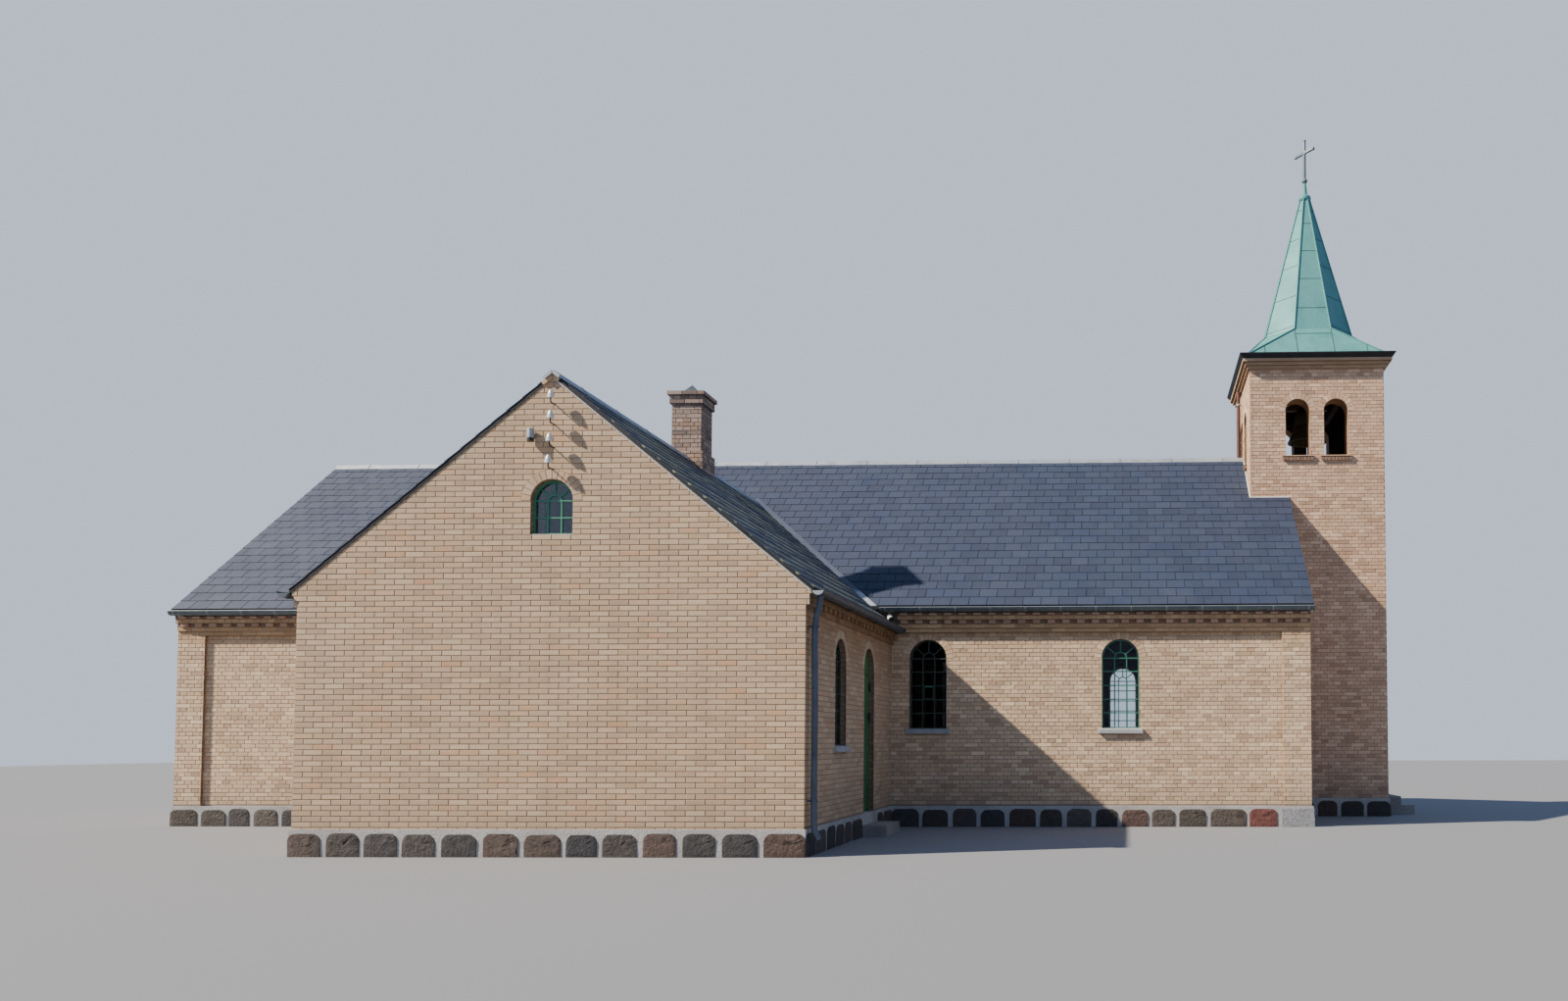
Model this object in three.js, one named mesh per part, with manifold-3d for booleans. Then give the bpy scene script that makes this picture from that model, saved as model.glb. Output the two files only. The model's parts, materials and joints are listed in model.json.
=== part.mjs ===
// A small brick church: a slated nave, a gabled wing with a chimney in front of it,
// and a square bell tower with a copper spire. Millimetres, +Z up, +X along the nave
// towards the tower, +Y to the back. The origin is at the middle of the nave, on the ground.
import * as THREE from 'three';
import { mergeVertices } from 'three/addons/utils/BufferGeometryUtils.js';
import { ConvexGeometry } from 'three/addons/geometries/ConvexGeometry.js';
import Module from 'manifold-3d';

const wasm = await Module();
wasm.setup();

// Brick module: a stretcher with its joint, and the height of a course
const brickLength = 228;
const joint = 12;
const module = brickLength + joint;
const course = 66.7;

// Gap between a piece and a neighbour that it is cut to, and the reach of a cutting tool past a face
const seam = 0.4;
const past = 1;

// Nave
const naveHalf = (78 * module - joint) / 2;
const naveDeep = (32.5 * module - joint) / 2;
const wallThick = 350;
const panelRecess = 50;
const pilasterWide = 455;
const plinthTop = 331;
const plinthOut = 25;
const naveRidge = 6890;
const naveSlope = 0.8285;
const slateThick = 40;
const naveEaveOut = 105;
const naveVerge = 50;

// Wing
const wingWide = 26 * module - joint;
const wingCentre = -569;
const wingOut = 21.25 * module - joint;
const wingRidge = 5868;
const wingSlope = 0.8216;
const wingEaveOut = 100;
const wingVerge = 40;

// Cornices of the long walls and the kneelers of the wing's gable. The nave's has a course level
// with its corner strips, two that stand out a little, then one and a crown that stand out further.
const corniceLow = 3218;
const corniceStep = 25;
const corniceTop = 75;
const corniceCrown = 45;
const corniceEnd = 12;
const wingCorniceLow = 2953;
const kneelerLow = 3020;
const kneelerStep = 45;
const kneelerOut = 70;

// Folded ridge caps and the metal strips in the valleys
const cap = { reach: 95, lift: 26, skin: 8, crest: 18, past: 6 };
const valleyStrip = { across: 270, skin: 8, inset: 2 };

// Gutters and their brackets; each start is the angle where the half-round begins, in degrees
const gutterRadius = 73;
const gutterSkin = 4;
const gutterGap = 34;
const wingGutterOut = 157;
const gutterPast = 8;
const naveGutterRim = 3545;
const wingGutterRim = 3205;
const naveGutterStart = 180;
const wingGutterStart = 207;
const gutterCapStart = 201;
const gutterSteps = 14;
const bracket = { wide: 25, low: 8, high: 3, inset: 60, spacing: 1800 };

// Downpipes
const pipeRadius = 38;
const wingPipeOut = 96;
const wingPipeBack = 90;
const wingPipeShoe = { out: 60, z: 200 };
const towerPipe = { out: 75, y: 250, foot: 40 };

// Windows
const naveWindow = { width: 608, sill: 1574, top: 3033 };
const wingWindow = { width: 592, sill: 1310, top: 2758 };
const gableWindow = { width: 520, sill: 3885, top: 4562 };
const naveWindowStep = 3144;
const wingWindowY = -7247;
const paneSet = 70;
const paneThick = 36;
const sillThick = 46;
const sillOut = 45;
const sillPast = 56;
const backGlazing = { thick: 30, past: 60 };

// Side door
const sideDoor = { width: 671, centre: -5509, top: 2758 };
const doorSill = 20;
const doorStep = { past: 150, out: 350 };
const frameWide = 45;
const frameDeep = 70;
const leafThick = 50;
const leafGap = 6;
const hingeRadius = 9;
const hingeStand = 11;
const hingeHeights = [600, 1725, 2175];
const knuckle = 46;
const strap = { thick: 5, inset: 8, long: 180, short: 40 };
const handle = { z: 1320, bar: 15, out: 45, inset: 55, long: 115 };

// Tower
const towerCentre = 9924;
const towerHalf = 1234;
const towerWall = 350;
const towerTop = 8280;
const eaveTop = 8540;
const eaveOut = 199;
const eaveHigh = 92;
const eaveLip = 8;
const eaveFloor = 12;
const towerCorniceSteps = [45, 90, 135];
const belfry = { width: 450, sill: 6650, top: 7714, apart: 354 };
const belfryFloor = { top: 6300, thick: 60 };
const towerDoor = { width: 1000, top: 2780 };
const innerDoor = { width: 900, top: 2480 };
const landing = { half: 600, out: 376, top: 331 };
const lowStep = { half: 600, out: 623, top: 165 };

// Spire
const skirtHalf = 1290;
const spireFoot = { apothem: 825, z: 9178 };
const spireHead = { apothem: 78, z: 12060 };
const spireSkin = { skirt: 60, corner: 84, head: 42, drop: 20 };

// Collar, cone, ball and cross on the spire
const collar = { radius: 95, high: 40 };
const cone = { low: 50, high: 28, top: 12380 };
const ball = { radius: 54, z: 12426 };
const cross = { foot: 12450, top: 13253, armZ: 12990, armHalf: 255, bar: 40, turn: -0.9 };

// Chimney
const chimneyHalf = 234;
const chimneyFront = -4689;
const chimneyBase = { half: 274, low: 5520, top: 5965 };
const chimneyNeckHalf = 264;
const chimneyCapHalf = 294;
const chimneyTop = 6925;
const chimneyNeck = 3 * course;
const flue = { half: 110, low: 900 };
const cowl = { half: 145, high: 176, skin: 8 };

// Bell: its axle, its headstock and its outline as radius and depth under the crown
const bellAxle = 7900;
const axleRadius = 25;
const axlePast = 30;
const headstock = { half: 400, thick: 120, drop: 10 };
const crownDrop = 60;
const bellOutline = [[0, 55], [150, 60], [200, 130], [222, 320], [265, 470], [325, 640], [380, 640],
  [300, 480], [262, 320], [245, 120], [215, 40], [150, 0], [0, 0]];
const beam = { at: 480, half: 50, high: 120, drop: 20, tie: 10 };
const saddle = { along: 30, across: 60 };

const colours = {
  brick: [0xc9a878, 0.9, 0],
  stone: [0x77706a, 0.9, 0],
  slate: [0x59616d, 0.65, 0],
  zinc: [0x9aa2a8, 0.45, 0.8],
  darkMetal: [0x23292b, 0.5, 0.6],
  copper: [0x8fbfae, 0.7, 0.2],
  green: [0x1f4a33, 0.5, 0],
  glass: [0x26343a, 0.15, 0],
  floor: [0x8d8a84, 0.9, 0],
  iron: [0x2b2b2c, 0.6, 0.7],
  bronze: [0x5a4a32, 0.45, 0.8],
  timber: [0x5c4632, 0.8, 0],
  chimneyBrick: [0x8a6a58, 0.9, 0],
  pipeRed: [0x6d4a42, 0.6, 0.3],
};

const church = new THREE.Group();

function addPiece(name, geometry, colour) {
  const [hex, roughness, metalness] = colours[colour];
  const material = new THREE.MeshStandardMaterial({ color: hex, roughness, metalness });
  const mesh = new THREE.Mesh(geometry, material);
  mesh.name = name;
  church.add(mesh);
}

// Closed solids and their booleans

function toSolid(geometry) {
  const bare = geometry.clone();
  bare.deleteAttribute('normal');
  bare.deleteAttribute('uv');
  const merged = mergeVertices(bare, 0.001);
  const solid = new wasm.Mesh({
    numProp: 3,
    vertProperties: new Float32Array(merged.attributes.position.array),
    triVerts: new Uint32Array(merged.index.array),
  });
  return new wasm.Manifold(solid);
}

function fromSolid(solid) {
  const mesh = solid.getMesh();
  const geometry = new THREE.BufferGeometry();
  geometry.setAttribute('position', new THREE.BufferAttribute(new Float32Array(mesh.vertProperties), 3));
  geometry.setIndex(new THREE.BufferAttribute(new Uint32Array(mesh.triVerts), 1));
  geometry.computeVertexNormals();
  return geometry;
}

function fuse(...parts) {
  return fromSolid(parts.map(toSolid).reduce((whole, next) => whole.add(next)));
}

function cut(base, ...tools) {
  return fromSolid(tools.map(toSolid).reduce((left, tool) => left.subtract(tool), toSolid(base)));
}

function both(a, b) {
  return fromSolid(toSolid(a).intersect(toSolid(b)));
}

// Basic forms. The two ends of a span may be given in either order.

function box(x0, x1, y0, y1, z0, z1) {
  const geometry = new THREE.BoxGeometry(Math.abs(x1 - x0), Math.abs(y1 - y0), Math.abs(z1 - z0));
  return geometry.translate((x0 + x1) / 2, (y0 + y1) / 2, (z0 + z1) / 2);
}

function prism(shape, depth) {
  return new THREE.ExtrudeGeometry(shape, { depth, bevelEnabled: false, curveSegments: 14 });
}

// A shape drawn in X and Z, made solid between two Y values
function slabAlongY(shape, y0, y1) {
  const turn = new THREE.Matrix4().makeBasis(
    new THREE.Vector3(1, 0, 0), new THREE.Vector3(0, 0, 1), new THREE.Vector3(0, -1, 0));
  return prism(shape, Math.abs(y1 - y0)).applyMatrix4(turn).translate(0, Math.max(y0, y1), 0);
}

// A shape drawn in Y and Z, made solid between two X values
function slabAlongX(shape, x0, x1) {
  const turn = new THREE.Matrix4().makeBasis(
    new THREE.Vector3(0, 1, 0), new THREE.Vector3(0, 0, 1), new THREE.Vector3(1, 0, 0));
  return prism(shape, Math.abs(x1 - x0)).applyMatrix4(turn).translate(Math.min(x0, x1), 0, 0);
}

function polygon(points) {
  return new THREE.Shape(points.map(([u, v]) => new THREE.Vector2(u, v)));
}

// Points along a circle from one angle to another, in degrees
function arcPoints(centre, level, radius, side, from, to) {
  const points = [];
  for (let k = 0; k <= gutterSteps; k += 1) {
    const angle = THREE.MathUtils.degToRad(from + (to - from) * k / gutterSteps);
    points.push([centre + side * radius * Math.cos(angle), level + radius * Math.sin(angle)]);
  }
  return points;
}

// A round-headed outline, for openings, panes and door heads
function archShape(centre, width, bottom, top) {
  const radius = width / 2;
  const outline = new THREE.Shape();
  outline.moveTo(centre - radius, bottom);
  outline.lineTo(centre + radius, bottom);
  outline.lineTo(centre + radius, top - radius);
  outline.absarc(centre, top - radius, radius, 0, Math.PI, false);
  return outline;
}

// A wall drawn as a polygon and pierced by round-headed openings; slab lays it along X or Y
function piercedWall(slab, points, openings, near, far) {
  const low = Math.min(near, far) - past;
  const high = Math.max(near, far) + past;
  const holes = openings.map(({ centre, width, sill, top }) =>
    slab(archShape(centre, width, sill, top), low, high));
  return cut(slab(polygon(points), near, far), ...holes);
}

// Heights of the slates above any point, and of the walls' tops under them
const slateDrop = slateThick * Math.hypot(1, naveSlope);
const naveSlates = (y) => naveRidge - naveSlope * Math.abs(y);
const wingSlates = (x) => wingRidge - wingSlope * Math.abs(x - wingCentre);
const naveUnder = (y) => naveSlates(y) - slateDrop - seam;
const wingUnder = (x) => wingSlates(x) - slateDrop - seam;

const wingLeft = wingCentre - wingWide / 2;
const wingRight = wingCentre + wingWide / 2;
const wingFront = -naveDeep - wingOut;
const wingEave = wingWide / 2 + wingEaveOut;
const naveEave = naveDeep + naveEaveOut;
const towerLeft = towerCentre - towerHalf;
const towerRight = towerCentre + towerHalf;
const towerInside = towerHalf - towerWall;
const chimneyMiddle = chimneyFront + chimneyHalf;

// Plinth and floors

function buildPlinth() {
  const out = plinthOut;
  const block = (x0, x1, y0, y1) => box(x0, x1, y0, y1, 0, plinthTop);
  const room = (x0, x1, y0, y1) => box(x0, x1, y0, y1, -past, plinthTop + past);
  const inner = naveDeep - wallThick;
  const nave = block(-naveHalf - out, naveHalf + out, -naveDeep - out, naveDeep + out);
  const naveRoom = room(-naveHalf + wallThick, naveHalf - wallThick, -inner, inner);
  const wing = block(wingLeft - out, wingRight + out, wingFront - out, -naveDeep);
  const wingRoom = room(wingLeft + wallThick, wingRight - wallThick, wingFront + wallThick, -naveDeep - out);
  const tower = block(towerLeft - out, towerRight + out, -towerHalf - out, towerHalf + out);
  const towerRoom = room(towerLeft + towerWall, towerRight - towerWall, -towerInside, towerInside);
  const shells = fuse(cut(nave, naveRoom), wing, tower);
  addPiece('plinth', cut(shells, wingRoom, towerRoom), 'stone');
}

function buildFloors() {
  const inner = naveDeep - wallThick;
  const naveFloor = box(-naveHalf + wallThick, naveHalf - wallThick, -inner, inner, 0, plinthTop);
  const towerGap = box(towerLeft - plinthOut, naveHalf, -towerHalf - plinthOut, towerHalf + plinthOut,
    -past, plinthTop + past);
  const wingFloor = box(wingLeft + wallThick, wingRight - wallThick, wingFront + wallThick,
    -naveDeep - plinthOut, 0, plinthTop);
  const towerFloor = box(towerLeft + towerWall, towerRight - towerWall, -towerInside, towerInside,
    0, plinthTop);
  addPiece('nave_floor', cut(naveFloor, towerGap), 'floor');
  addPiece('wing_floor', wingFloor, 'floor');
  addPiece('tower_floor', towerFloor, 'floor');
}

// Nave walls

// Shallow corner strips and the corbelled courses under the eaves of a long wall.
// side is -1 for the front wall and 1 for the back one. runs lists the cornice's runs, and
// levelRuns those of its lowest course, which is level with the strips.
function longWallTrim(side, runs, levelRuns) {
  const face = side * naveDeep;
  const field = side * (naveDeep - panelRecess);
  const corners = [[-naveHalf, -naveHalf + pilasterWide], [naveHalf - pilasterWide, naveHalf]];
  const strips = corners.map(([x0, x1]) => box(x0, x1, face, field, plinthTop, corniceLow));
  const turn = corniceLow + 2 * course;
  const top = turn + course + corniceCrown;
  const level = levelRuns.map(([x0, x1]) => box(x0, x1, face, field, corniceLow - course, corniceLow));
  const bands = runs.flatMap(([x0, x1]) => [
    box(x0, x1, face + side * corniceStep, field, corniceLow, turn),
    box(x0, x1, face + side * corniceTop, field, turn, top),
  ]);
  return [...strips, ...level, ...bands];
}

function longWall(name, side, windowSpots, ...cornice) {
  const top = naveUnder(naveDeep - panelRecess);
  const openings = windowSpots.map((centre) => ({ centre, ...naveWindow }));
  const inner = side * (naveDeep - wallThick);
  const field = side * (naveDeep - panelRecess);
  const outline = [[-naveHalf, plinthTop], [naveHalf, plinthTop], [naveHalf, top], [-naveHalf, top]];
  const wall = piercedWall(slabAlongY, outline, openings, inner, field);
  addPiece(name, fuse(wall, ...longWallTrim(side, ...cornice)), 'brick');
}

// An end wall across the nave between y0 and y1, topped by the underside of the slates
function endWall(name, x0, x1, y0, y1) {
  const points = [[y0, plinthTop], [y1, plinthTop], [y1, naveUnder(y1)]];
  if (y0 < 0 && y1 > 0) {
    points.push([0, naveUnder(0)]);
  }
  points.push([y0, naveUnder(y0)]);
  addPiece(name, slabAlongX(polygon(points), x0, x1), 'brick');
}

const windowSpots = [-2, -1, 0, 1, 2].map((place) => place * naveWindowStep);
const frontWindowSpots = [windowSpots[0], windowSpots[3], windowSpots[4]];

function buildNaveWalls() {
  const outside = (reach) => [[-naveHalf, wingCentre - reach], [wingCentre + reach, naveHalf]];
  const pastGutter = wingWide / 2 + wingGutterOut + gutterRadius + corniceEnd;
  const whole = [[-naveHalf, naveHalf]];
  longWall('nave_front_wall', -1, frontWindowSpots, outside(wingEave + corniceEnd), outside(pastGutter));
  longWall('nave_back_wall', 1, windowSpots, whole, whole);
  const inner = naveDeep - wallThick;
  endWall('nave_east_gable', -naveHalf, -naveHalf + wallThick, -inner, inner);
  endWall('nave_west_wall_front', naveHalf - wallThick, naveHalf, -inner, -towerHalf);
  endWall('nave_west_wall_back', naveHalf - wallThick, naveHalf, towerHalf, inner);
}

// Wing walls

// The gable's outline steps out at each eave onto two courses of kneeler
function gableOutline() {
  const stepTop = kneelerLow + 2 * course;
  const kneelTop = wingUnder(wingLeft - kneelerOut);
  return [
    [wingLeft, plinthTop], [wingRight, plinthTop], [wingRight, kneelerLow],
    [wingRight + kneelerStep, kneelerLow], [wingRight + kneelerStep, stepTop],
    [wingRight + kneelerOut, stepTop], [wingRight + kneelerOut, kneelTop],
    [wingCentre, wingUnder(wingCentre)],
    [wingLeft - kneelerOut, kneelTop], [wingLeft - kneelerOut, stepTop],
    [wingLeft - kneelerStep, stepTop], [wingLeft - kneelerStep, kneelerLow],
    [wingLeft, kneelerLow],
  ];
}

// The two courses and the one over them that corbel out along a side of the wing
function wingCornice(face, side, from, to) {
  const turn = wingCorniceLow + 2 * course;
  return [
    box(face, face + side * corniceStep, from, to, wingCorniceLow, turn),
    box(face, face + side * kneelerOut, from, to, turn, turn + course),
  ];
}

function wingSideWall(name, face, side, from, to, openings) {
  const top = wingUnder(wingLeft);
  const outline = [[from, plinthTop], [to, plinthTop], [to, top], [from, top]];
  const wall = piercedWall(slabAlongX, outline, openings, face, face - side * wallThick);
  addPiece(name, fuse(wall, ...wingCornice(face, side, from, to)), 'brick');
}

function buildWingWalls() {
  const gableOpening = { centre: wingCentre, ...gableWindow };
  const gable = piercedWall(slabAlongY, gableOutline(), [gableOpening], wingFront, wingFront + wallThick);
  addPiece('wing_gable_wall', gable, 'brick');
  const front = wingFront + wallThick;
  const back = -(naveDeep - panelRecess);
  const window = { centre: wingWindowY, ...wingWindow };
  const doorNear = sideDoor.centre - sideDoor.width / 2;
  const doorFar = sideDoor.centre + sideDoor.width / 2;
  wingSideWall('wing_left_wall', wingLeft, -1, front, back, [window]);
  wingSideWall('wing_right_wall', wingRight, 1, front, doorNear, [window]);
  wingSideWall('wing_right_pier', wingRight, 1, doorFar, back, []);
  buildDoorArch(doorNear, doorFar);
}

// The brickwork over the side door, from its springing to the slates
function buildDoorArch(doorNear, doorFar) {
  const radius = sideDoor.width / 2;
  const spring = sideDoor.top - radius;
  const top = wingUnder(wingLeft);
  const shape = new THREE.Shape();
  shape.moveTo(doorFar, spring);
  shape.lineTo(doorFar, top);
  shape.lineTo(doorNear, top);
  shape.lineTo(doorNear, spring);
  shape.absarc(sideDoor.centre, spring, radius, Math.PI, 0, true);
  const arch = slabAlongX(shape, wingRight - wallThick, wingRight);
  addPiece('side_door_arch', fuse(arch, ...wingCornice(wingRight, 1, doorNear, doorFar)), 'brick');
}

// Windows: a pane with its iron frame and the sill it stands on, as one piece. Where the sill
// has no nose, it ends inside the opening.

function windowPiece(name, alongX, centre, face, outward, size, nosed = true) {
  const slab = alongX ? slabAlongY : slabAlongX;
  const slatTo = (u, w0, w1) => {
    const low = size.sill + seam;
    const high = low + sillThick;
    return alongX
      ? box(centre - u, centre + u, w0, w1, low, high)
      : box(w0, w1, centre - u, centre + u, low, high);
  };
  const set = face - outward * paneSet;
  const back = set - outward * paneThick;
  const half = size.width / 2 - seam;
  const pane = slab(archShape(centre, 2 * half, size.sill + seam, size.top - seam), set, back);
  const bed = slatTo(half, back, face + outward * (nosed ? past : -past));
  const nose = slatTo(half + sillPast, face + outward * seam, face + outward * sillOut);
  addPiece(name, nosed ? fuse(pane, bed, nose) : fuse(pane, bed), 'glass');
}

function buildWindows() {
  const front = -(naveDeep - panelRecess);
  frontWindowSpots.forEach((x, k) =>
    windowPiece(`nave_front_window_${k + 1}`, true, x, front, -1, naveWindow));
  const reach = windowSpots[4] + naveWindow.width / 2 + backGlazing.past;
  const inside = naveDeep - wallThick;
  addPiece('nave_back_glazing', box(-reach, reach, inside - backGlazing.thick, inside,
    naveWindow.sill - backGlazing.past, naveWindow.top + backGlazing.past), 'glass');
  windowPiece('wing_gable_window', true, wingCentre, wingFront, -1, gableWindow, false);
  windowPiece('wing_right_window', false, wingWindowY, wingRight, 1, wingWindow);
  windowPiece('wing_left_window', false, wingWindowY, wingLeft, -1, wingWindow);
}

// Side door: a frame with a fixed round head, and a leaf hinged at the far jamb

function buildSideDoor() {
  const near = sideDoor.centre - sideDoor.width / 2 + seam;
  const far = sideDoor.centre + sideDoor.width / 2 - seam;
  const head = sideDoor.top - sideDoor.width / 2 - frameWide;
  const faceX = wingRight - paneSet;
  const outline = archShape(sideDoor.centre, far - near, plinthTop, sideDoor.top - seam);
  const doorway = box(faceX - frameDeep - past, faceX + past, near + frameWide, far - frameWide,
    plinthTop + doorSill, head);
  const frame = cut(slabAlongX(outline, faceX - frameDeep, faceX), doorway);
  const leafNear = near + frameWide + leafGap;
  const leafFar = far - frameWide - leafGap;
  const leaf = box(faceX - leafThick, faceX, leafNear, leafFar,
    plinthTop + doorSill + leafGap, head - leafGap);

  const axisX = faceX + hingeStand;
  const axisY = leafFar + leafGap / 2;
  const barrelHigh = knuckle - seam;
  const hingePart = (z, y0, y1, link) => [
    new THREE.CylinderGeometry(hingeRadius, hingeRadius, barrelHigh, 16).rotateX(Math.PI / 2)
      .translate(axisX, axisY, z + barrelHigh / 2),
    box(faceX - past, faceX + strap.thick, y0, y1, z + strap.inset, z + knuckle - strap.inset),
    box(faceX + past, axisX, axisY, link, z + strap.inset, z + knuckle - strap.inset),
  ];
  const onLeaf = hingeHeights.flatMap((z) => hingePart(z, leafFar - strap.long, leafFar, leafFar - past));
  const onFrame = hingeHeights.flatMap((z) =>
    hingePart(z - knuckle, axisY + strap.thick, axisY + strap.short, axisY + strap.thick + past));
  const grip = leafNear + handle.inset;
  const pull = [
    box(faceX - past, faceX + handle.out, grip, grip + handle.bar, handle.z, handle.z + handle.bar),
    box(faceX + handle.out - handle.bar, faceX + handle.out, grip, grip + handle.long,
      handle.z, handle.z + handle.bar),
  ];
  addPiece('side_door_frame', fuse(frame, ...onFrame), 'green');
  addPiece('side_door', fuse(leaf, ...onLeaf, ...pull), 'green');
  addPiece('side_door_step', box(wingRight + plinthOut, wingRight + plinthOut + doorStep.out,
    near - doorStep.past, far + doorStep.past, 0, lowStep.top), 'stone');
}

// Roofs, ridges and valleys

function slopeSection(ridge, slope, outer, side) {
  const top = ridge - slope * outer;
  const drop = slateThick * Math.hypot(1, slope);
  return polygon([[0, ridge - drop], [side * outer, top - drop], [side * outer, top], [0, ridge]]);
}

function buildNaveRoof() {
  const x0 = -naveHalf - naveVerge;
  const x1 = naveHalf + naveVerge;
  const towerNotch = box(towerLeft - seam, x1 + past, -towerHalf - seam, towerHalf + seam, 0, eaveTop);
  for (const [name, side] of [['nave_roof_front', -1], ['nave_roof_back', 1]]) {
    const slab = slabAlongX(slopeSection(naveRidge, naveSlope, naveEave, side), x0, x1);
    addPiece(name, cut(slab, towerNotch), 'slate');
  }
  const strip = slabAlongX(capShape(naveRidge, naveSlope), x0 - cap.past, towerLeft - 2 * seam);
  addPiece('nave_ridge_cap', strip, 'zinc');
}

// A folded metal strip astride a ridge
function capShape(ridge, slope) {
  const foot = ridge - slope * cap.reach + seam;
  return polygon([
    [-cap.reach, foot], [-cap.reach, foot + cap.skin], [-cap.crest, ridge + cap.lift],
    [cap.crest, ridge + cap.lift], [cap.reach, foot + cap.skin], [cap.reach, foot], [0, ridge + seam],
  ]);
}

// What the nave's front slope and wall take up, for trimming what dies into them
function naveBody(lift) {
  const eave = -naveEave - seam;
  const wall = -(naveDeep - panelRecess) - seam;
  const under = (y) => naveSlates(y) - slateDrop - lift;
  const beyond = 2000;
  return slabAlongX(polygon([
    [wall, -beyond], [wall, under(wall)], [eave, under(eave)], [eave, naveSlates(eave) + lift],
    [0, naveRidge + lift], [beyond, naveRidge + lift], [beyond, -beyond],
  ]), -naveHalf, naveHalf);
}

function buildWingRoof() {
  const y0 = wingFront - wingVerge;
  const holeHalf = chimneyBase.half + seam;
  const chimneyHole = box(wingCentre - holeHalf, wingCentre + holeHalf,
    chimneyMiddle - holeHalf, chimneyMiddle + holeHalf, 0, eaveTop);
  for (const [name, side] of [['wing_roof_left', -1], ['wing_roof_right', 1]]) {
    const slab = slabAlongY(slopeSection(wingRidge, wingSlope, wingEave, side), y0, 0);
    const placed = slab.translate(wingCentre + side * seam / 2, 0, 0);
    addPiece(name, cut(placed, naveBody(seam), chimneyHole), 'slate');
  }
  const strip = (from, to) =>
    slabAlongY(capShape(wingRidge, wingSlope), from, to).translate(wingCentre, 0, 0);
  const backStrip = cut(strip(chimneyMiddle + holeHalf, 0), naveBody(valleyStrip.skin + past));
  addPiece('wing_ridge_cap_front', strip(y0 - cap.past, chimneyMiddle - holeHalf), 'zinc');
  addPiece('wing_ridge_cap_back', backStrip, 'zinc');
}

// A strip of sheet metal on the nave's slates beside each valley
function buildValleys() {
  const { across, skin, inset } = valleyStrip;
  const drop = naveRidge - wingRidge;
  const end = -naveEave + inset;
  const reach = (y) => (-y * naveSlope - drop) / wingSlope + inset;
  const start = -drop / naveSlope;
  const top = (d) => naveRidge - naveSlope * d + seam;
  const sheet = slabAlongX(polygon([
    [-naveEave, top(naveEave)], [0, top(0)], [0, top(0) + skin], [-naveEave, top(naveEave) + skin],
  ]), -naveHalf, naveHalf);
  for (const [name, side] of [['valley_left', -1], ['valley_right', 1]]) {
    const plan = polygon([[side * seam, start + inset], [side * reach(end), end],
      [side * reach(end - across), end], [side * seam, start + across]]);
    addPiece(name, both(prism(plan, eaveTop).translate(wingCentre, 0, 0), sheet), 'zinc');
  }
}

// Gutters: half-round channels with closed ends, on brackets from the wall

function gutterPiece(name, slab, { centre, rim, side, start, wall }, from, to) {
  const full = 360;
  const half = 180;
  const outer = arcPoints(centre, rim, gutterRadius, side, start, full);
  const inner = arcPoints(centre, rim, gutterRadius - gutterSkin, side, start, full).reverse();
  const capStart = Math.max(start, gutterCapStart);
  const end = polygon(arcPoints(centre, rim, gutterRadius, side, capStart, full + half - capStart));
  const parts = [
    slab(polygon([...outer, ...inner]), from, to),
    slab(end, from, from + gutterSkin),
    slab(end, to - gutterSkin, to),
  ];
  const count = Math.round((to - from) / bracket.spacing);
  const run = to - from - 2 * bracket.inset - bracket.wide;
  const low = rim - gutterRadius;
  const arm = polygon([[wall, low - bracket.low], [centre, low - bracket.low],
    [centre, low + bracket.high], [wall, low + bracket.high]]);
  for (let k = 0; k <= count; k += 1) {
    const at = from + bracket.inset + run * k / count;
    parts.push(slab(arm, at, at + bracket.wide));
  }
  addPiece(name, fuse(...parts), 'darkMetal');
}

// How far from the wing's middle its slates have dropped clear of the nave's gutter
function naveGutterStop() {
  return (wingRidge - (naveGutterRim - gutterRadius)) / wingSlope + gutterGap;
}

function buildGutters() {
  const end = naveHalf + naveVerge + gutterPast;
  const stop = naveGutterStop();
  const naveRun = (side) => ({
    centre: side * (naveDeep + gutterGap + gutterRadius),
    rim: naveGutterRim,
    side,
    start: naveGutterStart,
    wall: side * (naveDeep - panelRecess + seam),
  });
  gutterPiece('nave_gutter_right', slabAlongX, naveRun(-1), wingCentre + stop, end);
  gutterPiece('nave_gutter_left', slabAlongX, naveRun(-1), -end, wingCentre - stop);
  gutterPiece('nave_gutter_back', slabAlongX, naveRun(1), -end, end);
  const from = wingFront - wingVerge - gutterPast;
  const to = -(naveDeep - panelRecess) - gutterPast;
  const wingRun = (side) => ({
    centre: wingCentre + side * (wingWide / 2 + wingGutterOut),
    rim: wingGutterRim,
    side,
    start: wingGutterStart,
    wall: wingCentre + side * (wingWide / 2 + kneelerOut + seam),
  });
  gutterPiece('wing_gutter_right', slabAlongY, wingRun(1), from, to);
  gutterPiece('wing_gutter_left', slabAlongY, wingRun(-1), from, to);
}

// Downpipes: tubes along a smooth line through a few points

function pipe(points) {
  const ring = new THREE.Shape();
  ring.absarc(0, 0, pipeRadius, 0, 2 * Math.PI, false);
  const bore = new THREE.Path();
  bore.absarc(0, 0, pipeRadius - gutterSkin, 0, 2 * Math.PI, true);
  ring.holes.push(bore);
  const path = new THREE.CatmullRomCurve3(points.map((p) => new THREE.Vector3(...p)), false, 'centripetal');
  return new THREE.ExtrudeGeometry(ring, { steps: 24, extrudePath: path, curveSegments: 8 });
}

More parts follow.
